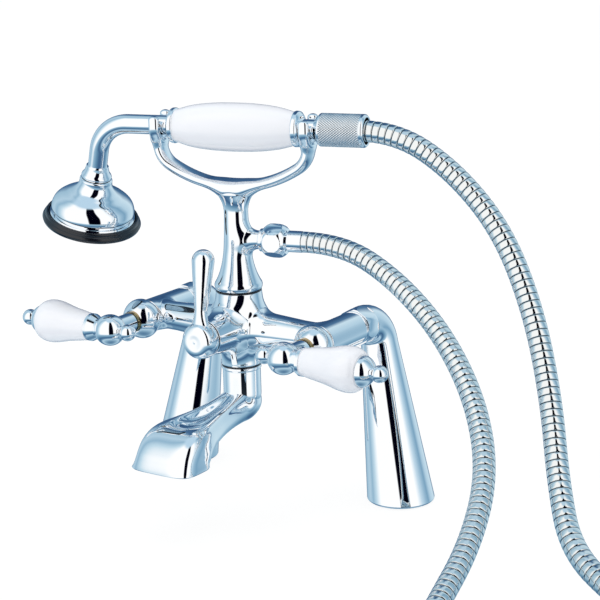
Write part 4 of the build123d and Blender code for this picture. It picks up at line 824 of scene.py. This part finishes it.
class MIXER_OT_spout(bpy.types.Operator):
    """Spout: rounded-square sections along a bent line, with a valley along the top

    Each section is a curve of equal powers in both directions, lowered at its top by a bell-shaped
    valley, and tilted as the line turns down to the mouth.
    """

    bl_idname = "mixer.add_spout"
    bl_label = "Add spout"

    def execute(self, context):
        settings = context.scene.mixer_spout
        stations = curve_through(SPOUT_STATIONS, 150)
        lip, wall, depth = stations[-1], settings.mouth_wall, settings.cup_depth
        rows = [stations]
        for inset, rise in (
            (0.3, -0.5), (1.2, -0.6), (2.6, -0.4), (wall, 0.4), (wall + 2.2, depth), (23.3, depth),
        ):
            row = lip.copy()
            row[1] += rise
            row[3], row[4] = max(lip[3] - inset, 0.1), max(lip[4] - inset * 0.92, 0.1)
            rows.append(row[None])
        forward, height, tilt, half_width, half_depth, valley, square = np.vstack(rows).T[:, :, None]
        angle = full_turn(160)[None]
        x, z = squared_oval(angle, square, half_width, half_depth)
        bell = np.exp(-((x / (half_width * settings.valley_width)) ** 2))
        z = z - valley * bell * np.clip(np.sin(angle) * 3, 0, 1)
        turn = np.radians(tilt)
        y = -BODY_FORWARD - forward - z * np.sin(turn)
        points = np.stack([x, y, height + z * np.cos(turn)], -1)
        arm = tidy_mesh(mesh_from_grid("spout_arm", points * MM), 40.0)
        radius, foot = NECK_RADIUS, NECK_FOOT
        swing = np.linspace(np.pi / 2, 0.0, 16)
        collar = [(radius, foot), (radius, 91.0), (13.0, 91.0), (13.0, 93.0), (9.5, 93.0)]
        outline = np.vstack([
            np.stack([radius * np.cos(swing), foot - radius * np.sin(swing)], 1),
            rounded(collar, 0.4)[1:],
            [(9.5, 101.8), (0.0, 101.8)],
        ])
        neck = turned_mesh("spout_neck", BODY_MIDDLE, UP, outline, 0.9, 128, 35.0)
        add_piece("spout_surface", joined_mesh("spout_surface", [arm, neck]), "root", "chrome", "spout")
        return {"FINISHED"}


# Riser and tee: radius and distance along their axes, in millimetres
RISER_FLARE = [
    (14.3, 143.8), (15.1, 144.7), (15.6, 146.4), (15.4, 148.2), (14.3, 150.2), (12.7, 153.6),
    (10.9, 159.0), (9.3, 167.0), (8.4, 178.0), (7.7, 196.0),
]
TEE_OUTLINE = [(0, 0), (5.9, 0), (5.9, 16.2), (7.4, 16.6), (7.4, 27.8), (4.6, 27.8), (4.6, 24.0), (0, 24.0)]

# Cradle's band: heights of its lowest point and of its ends, and half sizes of its section
BAND_LOW, BAND_END = 211.6, 237.6
BAND_HALF_WIDTH, BAND_HALF_DEPTH = 7.5, 3.7

# Forks: radius of their line, heights of their two tips above the handset's line, half sizes
FORK_RADIUS = 9.6
FORK_REAR_TIP, FORK_FRONT_TIP = 6.2, 4.6
FORK_HALF_WIDTH, FORK_HALF_DEPTH = 3.5, 2.6


class CradleSettings(bpy.types.PropertyGroup):
    """Sizes of the riser and its cradle, in millimetres."""

    fork_u: bpy.props.FloatProperty(
        name="Fork place", description="Each fork from the middle", default=50.5
    )
    corner_radius: bpy.props.FloatProperty(
        name="Corner radius", description="Band's end bends", default=16.0
    )
    web_fillet: bpy.props.FloatProperty(
        name="Web fillet", description="Reach under the band", default=15.0
    )
    tee_fillet: bpy.props.FloatProperty(
        name="Tee fillet", description="Reach round the tee", default=8.0
    )


class MIXER_OT_cradle(bpy.types.Operator):
    """Riser, tee, cradle band and forks joined by soft fillets"""

    bl_idname = "mixer.add_cradle"
    bl_label = "Add cradle"

    def execute(self, context):
        settings = context.scene.mixer_cradle
        fork_u, bend = settings.fork_u, settings.corner_radius
        riser = np.vstack([[(0, 143.8)], curve_through(RISER_FLARE, 70), [(7.6, 208.0), (0, 208.0)]])
        corner, rise = fork_u - bend, BAND_END - BAND_LOW
        radius = (corner**2 + rise**2 - bend**2) / (2 * (rise - bend))
        lean = np.degrees(np.arctan2(corner, radius - rise))

        def at(u, z):
            """Point at a distance along the cradle and a height."""
            return BODY_MIDDLE + ACROSS * u + UP * z

        band = np.vstack([
            [at(-fork_u, BAND_END + 3.0)],
            arc_points(at(-corner, BAND_END), -ACROSS, -UP, bend, 0, 90 - lean, 16),
            arc_points(at(0, BAND_LOW + radius), -UP, ACROSS, radius, -lean, lean, 70)[1:-1],
            arc_points(at(corner, BAND_END), -UP, ACROSS, bend, lean, 90, 16),
            [at(fork_u, BAND_END + 3.0)],
        ])
        shapes = [
            Turned(BODY_MIDDLE, UP, riser, settings.web_fillet),
            Turned(at(0, TEE_HEIGHT), ACROSS, rounded(TEE_OUTLINE, 0.5), settings.tee_fillet),
            Swept(
                band, FRONT, BAND_HALF_WIDTH, BAND_HALF_DEPTH,
                cap=1.0, square=2.3, reach=settings.web_fillet,
            ),
        ]
        for side, _ in VALVES:
            centre = at(side * fork_u, HANDSET_HEIGHT)
            rear, front = centre - FRONT * FORK_RADIUS, centre + FRONT * FORK_RADIUS
            fork = np.vstack([
                np.linspace(rear + UP * FORK_REAR_TIP, rear + UP * 0.8, 6),
                arc_points(centre, -FRONT, -UP, FORK_RADIUS, 0, 180, 40),
                np.linspace(front + UP * 0.8, front + UP * FORK_FRONT_TIP, 4),
            ])
            shapes.append(
                Swept(fork, ACROSS, FORK_HALF_WIDTH, FORK_HALF_DEPTH, cap=2.4, square=2.4, reach=5.0)
            )
        mesh = blended_mesh("riser_cradle", shapes, 0.8, 112)
        add_piece("riser_cradle_surface", mesh, "root", "chrome", "riser_cradle")
        return {"FINISHED"}


class NutSettings(bpy.types.PropertyGroup):
    """Sizes of the hexagon nut on the hose, in millimetres."""

    flats: bpy.props.FloatProperty(name="Flats", description="Across the flats", default=19.4)
    corner: bpy.props.FloatProperty(
        name="Corner radius", description="Middle of the barrelled corners", default=11.3
    )
    start: bpy.props.FloatProperty(
        name="Start", description="Near end, from the riser's middle", default=19.0
    )
    length: bpy.props.FloatProperty(name="Length", description="Length of the nut", default=15.4)


class MIXER_OT_nut(bpy.types.Operator):
    """Hose nut: a hexagon, its corners limited by a barrel that falls away as a power of the distance"""

    bl_idname = "mixer.add_nut"
    bl_label = "Add hose nut"

    def execute(self, context):
        settings = context.scene.mixer_nut
        corner_drop, corner_power, chamfer, flat_turn = 3.1, 2.6, 0.6, np.radians(60.0)
        angle = full_turn(180)
        share = np.linspace(-1.0, 1.0, 61)[:, None]
        barrel = settings.corner - corner_drop * np.abs(share) ** corner_power
        turn = np.mod(angle + flat_turn / 2, flat_turn) - flat_turn / 2
        radius = np.minimum(settings.flats / 2 / np.cos(turn), barrel)
        place = settings.start + settings.length * (share + 1) / 2
        place = np.vstack([place[:1], place[:1], place, place[-1:], place[-1:]])
        centre = np.zeros((1, len(angle)))
        radius = np.vstack([centre, radius[:1] - chamfer, radius, radius[-1:] - chamfer, centre])
        spokes = spokes_of(angle, FRONT, UP)
        tee = BODY_MIDDLE + UP * TEE_HEIGHT
        points = tee + place[..., None] * ACROSS + radius[..., None] * spokes
        mesh = tidy_mesh(mesh_from_grid("hose_nut", points * MM), 24.0)
        add_piece("hose_nut_surface", mesh, "root", "chrome", "hose_nut")
        return {"FINISHED"}


class HandsetSettings(bpy.types.PropertyGroup):
    """Sizes of the handset's head and grip, in millimetres."""

    bend_start: bpy.props.FloatProperty(
        name="Bend start", description="From the cradle's middle", default=72.6
    )
    bend_radius: bpy.props.FloatProperty(
        name="Bend radius", description="Middle of the bent tube", default=24.0
    )
    bend_angle: bpy.props.FloatProperty(
        name="Bend angle", description="Turn of the tube", default=np.radians(76.0), subtype="ANGLE"
    )
    tail: bpy.props.FloatProperty(name="Tail", description="Straight end after the bend", default=11.5)
    rim_radius: bpy.props.FloatProperty(
        name="Rim radius", description="Radius of the bell's rim", default=27.6
    )
    ring_radius: bpy.props.FloatProperty(
        name="Ring radius", description="Radius of the black ring", default=32.9
    )
    grip_radius: bpy.props.FloatProperty(
        name="Grip radius", description="Widest part of the grip", default=15.5
    )


class MIXER_OT_handset(bpy.types.Operator):
    """Shower head and porcelain grip: turned pieces along the handset's tube"""

    bl_idname = "mixer.add_handset"
    bl_label = "Add handset"

    def execute(self, context):
        settings = context.scene.mixer_handset
        middle = BODY_MIDDLE + UP * HANDSET_HEIGHT
        angle, radius = settings.bend_angle, settings.bend_radius
        down = -ACROSS * np.cos(angle) - HANDSET_UP * np.sin(angle)
        origin = (
            middle - ACROSS * (settings.bend_start + radius * np.sin(angle))
            - HANDSET_UP * radius * (1 - np.cos(angle)) + down * settings.tail
        )
        throat = curve_through([(7.5, 0.6), (7.8, 2.8), (8.6, 5.0), (9.7, 6.4), (10.0, 7.5), (9.6, 8.6)], 24)
        collar = np.vstack([[(0, 0), (7.0, 0)], throat, [(8.6, 8.7), (0, 8.7)]])
        rim, ring = settings.rim_radius, settings.ring_radius
        skin = curve_through(
            [
                (9.8, 9.1), (10.7, 9.8), (10.8, 11.6), (11.2, 13.8), (12.9, 16.6), (17.0, 19.4),
                (22.0, 22.4), (25.7, 25.8), (rim - 0.3, 29.4), (rim, 32.2), (rim - 0.4, 33.4),
            ],
            60,
        )
        foot = [
            (rim - 1.6, 33.7), (rim - 1.6, 34.7), (rim + 0.5, 34.8), (rim + 1.0, 35.7), (rim + 0.6, 36.6),
            (25.4, 36.8), (25.4, 38.4), (0, 38.4),
        ]
        bell = np.vstack([[(0, 9.1)], skin, foot])
        black = rounded(
            [
                (25.5, 36.9), (rim + 1.3, 36.7), (rim + 1.6, 35.6), (rim + 2.6, 35.3), (rim + 3.4, 36.0),
                (rim + 3.6, 37.6), (ring - 0.8, 38.0), (ring, 39.8), (ring - 0.8, 41.8), (ring - 2.8, 42.8),
                (25.5, 42.8), (25.5, 36.9),
            ],
            0.5,
        )
        for node, outline, slot in (
            ("head_collar", collar, "chrome"),
            ("head_bell", bell, "chrome"),
            ("rubber_ring", black, "rubber"),
        ):
            mesh = turned_mesh(node, origin, down, outline, 0.6, 160)
            add_piece(f"{node}_surface", mesh, "handset", slot, node)
        wide = settings.grip_radius
        grip = curve_through(
            [
                (10.0, -40.4), (10.5, -38.4), (wide * 0.86, -28.0), (wide * 0.97, -14.0), (wide, 1.5),
                (wide * 0.97, 17.0), (wide * 0.86, 31.0), (10.7, 41.6), (10.2, 43.6),
            ],
            90,
        )
        mesh = turned_mesh("grip", middle, ACROSS, np.vstack([[(0, -40.5)], grip, [(0, 43.7)]]))
        add_piece("porcelain_grip_surface", mesh, "handset", "porcelain", "porcelain_grip")
        for side, start, end, label in ((-1, 38.4, 43.0, "left"), (1, 41.8, 46.6, "right")):
            cup = rounded(
                [
                    (0, start), (11.0, start), (11.5, start + 0.8), (11.3, end - 1.6), (9.4, end - 0.2),
                    (7.2, end), (0, end),
                ],
                0.6,
            )
            mesh = turned_mesh("ferrule", middle, ACROSS * side, cup)
            add_piece(f"{label}_ferrule_surface", mesh, "handset", "chrome", f"{label}_grip_ferrule")
        return {"FINISHED"}


class KnurlSettings(bpy.types.PropertyGroup):
    """Sizes of the knurled sleeve, in millimetres."""

    radius: bpy.props.FloatProperty(name="Radius", description="Outside radius", default=10.5)
    depth: bpy.props.FloatProperty(name="Knurl depth", description="Depth of the diamonds", default=0.38)
    count: bpy.props.IntProperty(name="Diamonds", description="Diamonds round the sleeve", default=42, min=8)


class MIXER_OT_knurl(bpy.types.Operator):
    """Knurled sleeve: a diamond pattern, the product of two slanting waves, cut into a turned sleeve"""

    bl_idname = "mixer.add_knurl"
    bl_label = "Add knurled sleeve"

    def execute(self, context):
        settings = context.scene.mixer_knurl
        columns = settings.count * 8
        start, end, chamfer = 55.8, 89.1, 3.4
        mouth, seat, recess_depth = 8.4, 7.9, 3.8
        profile = [
            (0.0, start), (settings.radius - chamfer, start), (settings.radius, start + chamfer),
            (settings.radius, end - 1.2), (settings.radius - 1.0, end), (mouth, end),
            (seat, end - recess_depth), (0.0, end - recess_depth),
        ]
        outline = dense(rounded(profile, 0.5), 0.24)
        place = outline[:, 1]
        angle = full_turn(columns)
        pitch = 2 * np.pi * settings.radius / settings.count
        along = place[:, None] * 2 * np.pi / (pitch * 1.25)
        first, second = (np.sin((along + way * settings.count * angle) / 2) for way in (1, -1))
        waves = np.abs(first) * np.abs(second)
        near, far = (place - start - chamfer - 0.8) / 0.6, (end - 2.6 - place) / 0.6
        fade = np.clip(near, 0, 1) * np.clip(far, 0, 1) * (outline[:, 0] > settings.radius - 0.3)
        groove = fade[:, None] * (1 - np.minimum(waves * 2.2, 1.0))
        radius = outline[:, :1] - settings.depth * groove
        spokes = spokes_of(angle, HANDSET_UP, np.cross(ACROSS, HANDSET_UP))
        middle = BODY_MIDDLE + UP * HANDSET_HEIGHT
        points = middle + place[:, None, None] * ACROSS + radius[..., None] * spokes
        mesh = mesh_from_grid("knurled_sleeve", points * MM)
        # Painted shade: the recess is painted near black and the knurl's grooves darker, in place of the
        # shade that falls in them
        recess = (outline[:, 0] < 8.35) & (place > end - 4.5)
        write_painted_shade(mesh, columns, np.where(recess[:, None], 0.02, 0.46 - 0.17 * groove))
        tidy_mesh(mesh, 75.0)
        add_piece("knurled_sleeve_surface", mesh, "handset", "knurled_chrome", "knurled_sleeve")
        return {"FINISHED"}


class MIXER_OT_castings(bpy.types.Operator):
    """Every rigid piece of the mixer in its own finish"""

    bl_idname = "mixer.add_castings"
    bl_label = "Add castings"

    def execute(self, context):
        dress_nodes([node for node in frame["nodes"] if node not in finished_nodes])
        return {"FINISHED"}


def mixed_shader(nodes, links, ray, other, shown):
    """One shader to a kind of ray and another to the rest."""
    mix = add_node(nodes, "MixShader")
    links.new(add_node(nodes, "LightPath").outputs[ray], mix.inputs["Fac"])
    links.new(other, mix.inputs[1])
    links.new(shown, mix.inputs[2])
    return mix.outputs["Shader"]


def colour_ramp(nodes, stops):
    """Colour ramp node with the given (position, colour) stops."""
    ramp = add_node(nodes, "ValToRGB")
    elements = ramp.color_ramp.elements
    elements[0].position, elements[0].color = stops[0][0], (*stops[0][1], 1.0)
    elements[1].position, elements[1].color = stops[-1][0], (*stops[-1][1], 1.0)
    for position, colour in stops[1:-1]:
        elements.new(position).color = (*colour, 1.0)
    return ramp


def step_between(nodes, links, value, low, high):
    """Smooth step of a value between two limits."""
    limits = {"From Min": low, "From Max": high}
    step = add_node(nodes, "MapRange", limits, interpolation_type="SMOOTHSTEP")
    links.new(value, step.inputs["Value"])
    return step.outputs["Result"]


def plain_colour(nodes, colour):
    """Colour output of a constant."""
    node = add_node(nodes, "RGB")
    node.outputs["Color"].default_value = (*colour, 1.0)
    return node.outputs["Color"]


def studio_world(settings):
    """White to the camera; to metal, lit walls with pale-blue sides and a dark gap, blue below and above."""
    world = bpy.data.worlds.new("studio")
    bpy.context.scene.world = world
    world.use_nodes = True
    nodes, links = world.node_tree.nodes, world.node_tree.links
    nodes.clear()
    out = add_node(nodes, "OutputWorld")
    white = add_node(nodes, "Background", {"Color": (1.0, 1.0, 1.0, 1.0)})
    soft = add_node(nodes, "Background", {"Color": (0.95, 0.97, 1.0, 1.0), "Strength": settings.soft_light})
    studio = add_node(nodes, "Background")
    place = add_node(nodes, "TexCoord")
    turn = add_node(nodes, "Mapping", {"Rotation": (0.0, 0.0, -settings.azimuth)})
    split = add_node(nodes, "SeparateXYZ")
    bearing = add_node(nodes, "Math", operation="ARCTAN2")
    back = add_node(nodes, "Math", {1: -1.0}, operation="MULTIPLY")
    share = add_node(nodes, "MapRange", {"From Min": -np.pi, "From Max": np.pi})
    links.new(place.outputs["Generated"], turn.inputs["Vector"])
    links.new(turn.outputs["Vector"], split.inputs["Vector"])
    links.new(split.outputs["Y"], back.inputs[0])
    links.new(split.outputs["X"], bearing.inputs[0])
    links.new(back.outputs["Value"], bearing.inputs[1])
    links.new(bearing.outputs["Value"], share.inputs["Value"])
    walls = colour_ramp(nodes, WALL_STOPS)
    links.new(share.outputs["Result"], walls.inputs["Fac"])
    height = split.outputs["Z"]
    depth = add_node(nodes, "MapRange", {"From Min": -1.0, "From Max": WALL_FOOT})
    links.new(height, depth.inputs["Value"])
    ground = colour_ramp(nodes, GROUND_STOPS)
    links.new(depth.outputs["Result"], ground.inputs["Fac"])
    floor_side = step_between(nodes, links, height, *GROUND_EDGE)
    roof_side = step_between(nodes, links, height, *ROOF_EDGE)
    colour = blended_colour(nodes, links, floor_side, ground.outputs["Color"], walls.outputs["Color"])
    colour = blended_colour(nodes, links, roof_side, colour, plain_colour(nodes, ROOF_COLOUR))
    links.new(colour, studio.inputs["Color"])
    soft, studio, white = (node.outputs["Background"] for node in (soft, studio, white))
    rest = mixed_shader(nodes, links, "Is Glossy Ray", soft, studio)
    shown = mixed_shader(nodes, links, "Is Camera Ray", rest, white)
    links.new(shown, out.inputs["Surface"])


def stage_floor(settings):
    """Large plain floor that is white to the camera but keeps the object's shadow."""
    half = FLOOR_HALF_SIZE
    mesh = bpy.data.meshes.new("floor")
    corners = [(x, y, -FLOOR_DROP) for x, y in ((-half, -half), (half, -half), (half, half), (-half, half))]
    mesh.from_pydata(corners, [], [(0, 1, 2, 3)])
    material = bpy.data.materials.new("plain_floor")
    material.use_nodes = True
    nodes, links = material.node_tree.nodes, material.node_tree.links
    nodes.clear()
    out = add_node(nodes, "OutputMaterial")
    lit = add_node(nodes, "BsdfDiffuse", {"Color": (*FLOOR_LIT, 1.0)})
    glow = add_node(nodes, "Emission", {"Strength": FLOOR_GLOW})
    both = add_node(nodes, "AddShader")
    plain = add_node(nodes, "BsdfDiffuse", {"Color": (*settings.floor_colour, 1.0)})
    clear = add_node(nodes, "BsdfTransparent")
    links.new(lit.outputs["BSDF"], both.inputs[0])
    links.new(glow.outputs["Emission"], both.inputs[1])
    rest = mixed_shader(nodes, links, "Is Glossy Ray", plain.outputs["BSDF"], clear.outputs["BSDF"])
    shown = mixed_shader(nodes, links, "Is Camera Ray", rest, both.outputs["Shader"])
    links.new(shown, out.inputs["Surface"])
    mesh.materials.append(material)
    floor = bpy.data.objects.new("floor", mesh)
    bpy.context.scene.collection.objects.link(floor)


def area_light(name, place, size, energy):
    """Soft square lamp that faces the lamps' target."""
    lamp = bpy.data.lights.new(name, "AREA")
    lamp.size = size
    lamp.energy = energy
    holder = bpy.data.objects.new(name, lamp)
    holder.location = place
    holder.rotation_euler = (Vector(LAMP_TARGET) - Vector(place)).to_track_quat("-Z", "Y").to_euler()
    holder.visible_glossy = False
    bpy.context.scene.collection.objects.link(holder)


class MIXER_OT_stage(bpy.types.Operator):
    """Camera at the photographed view, plain floor, soft lamps and the studio world"""

    bl_idname = "mixer.add_stage"
    bl_label = "Add stage"

    def execute(self, context):
        settings = context.scene.mixer_stage
        az, el, roll = settings.azimuth, settings.elevation, settings.roll
        ahead = Vector((-np.sin(az) * np.cos(el), np.cos(az) * np.cos(el), -np.sin(el)))
        level = Vector((np.cos(az), np.sin(az), 0.0))
        above = level.cross(ahead)
        right = level * np.cos(roll) + above * np.sin(roll)
        top = above * np.cos(roll) - level * np.sin(roll)
        data = bpy.data.cameras.new("camera")
        data.lens = settings.lens
        camera = bpy.data.objects.new("camera", data)
        place = Vector(settings.target) - ahead * settings.distance
        turn = Matrix((right, top, -ahead)).transposed().to_4x4()
        camera.matrix_world = Matrix.Translation(place) @ turn
        context.scene.collection.objects.link(camera)
        context.scene.camera = camera
        context.scene.view_settings.view_transform = "Standard"
        studio_world(settings)
        stage_floor(settings)
        for name, (place, size, energy) in LAMPS.items():
            area_light(name, place, size, energy)
        return {"FINISHED"}


class MIXER_PT_panel(bpy.types.Panel):
    """Buttons and values of the dressing"""

    bl_idname = "MIXER_PT_panel"
    bl_label = "Bath shower mixer"
    bl_space_type = "VIEW_3D"
    bl_region_type = "UI"
    bl_category = "Mixer"

    def draw(self, context):
        layout = self.layout
        for operator in OPERATORS:
            layout.operator(operator.bl_idname)
        for group in (getattr(context.scene, label) for label in GROUPS):
            box = layout.box()
            for name in group.bl_rna.properties.keys():
                if name not in {"rna_type", "name"}:
                    box.prop(group, name)


GROUPS = {
    "mixer_stage": StageSettings,
    "mixer_hose": HoseSettings,
    "mixer_body": BodySettings,
    "mixer_spout": SpoutSettings,
    "mixer_cradle": CradleSettings,
    "mixer_nut": NutSettings,
    "mixer_handset": HandsetSettings,
    "mixer_knurl": KnurlSettings,
}
OPERATORS = (
    MIXER_OT_stage, MIXER_OT_hose, MIXER_OT_body, MIXER_OT_spout, MIXER_OT_cradle, MIXER_OT_nut,
    MIXER_OT_handset, MIXER_OT_knurl, MIXER_OT_castings,
)
CLASSES = (*GROUPS.values(), *OPERATORS, MIXER_PT_panel)


def register():
    """Register the classes and their scene settings."""
    for item in CLASSES:
        bpy.utils.register_class(item)
    for name, group in GROUPS.items():
        setattr(bpy.types.Scene, name, bpy.props.PointerProperty(type=group))


def unregister():
    """Undo register."""
    for name in GROUPS:
        delattr(bpy.types.Scene, name)
    for item in reversed(CLASSES):
        bpy.utils.unregister_class(item)


def main():
    """Make everything in order."""
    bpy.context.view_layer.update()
    register()
    bpy.ops.mixer.add_stage()
    bpy.ops.mixer.add_hose()
    bpy.ops.mixer.add_body()
    bpy.ops.mixer.add_spout()
    bpy.ops.mixer.add_cradle()
    bpy.ops.mixer.add_nut()
    bpy.ops.mixer.add_handset()
    bpy.ops.mixer.add_knurl()
    bpy.ops.mixer.add_castings()
    bpy.context.view_layer.update()


if __name__ == "__main__":
    main()
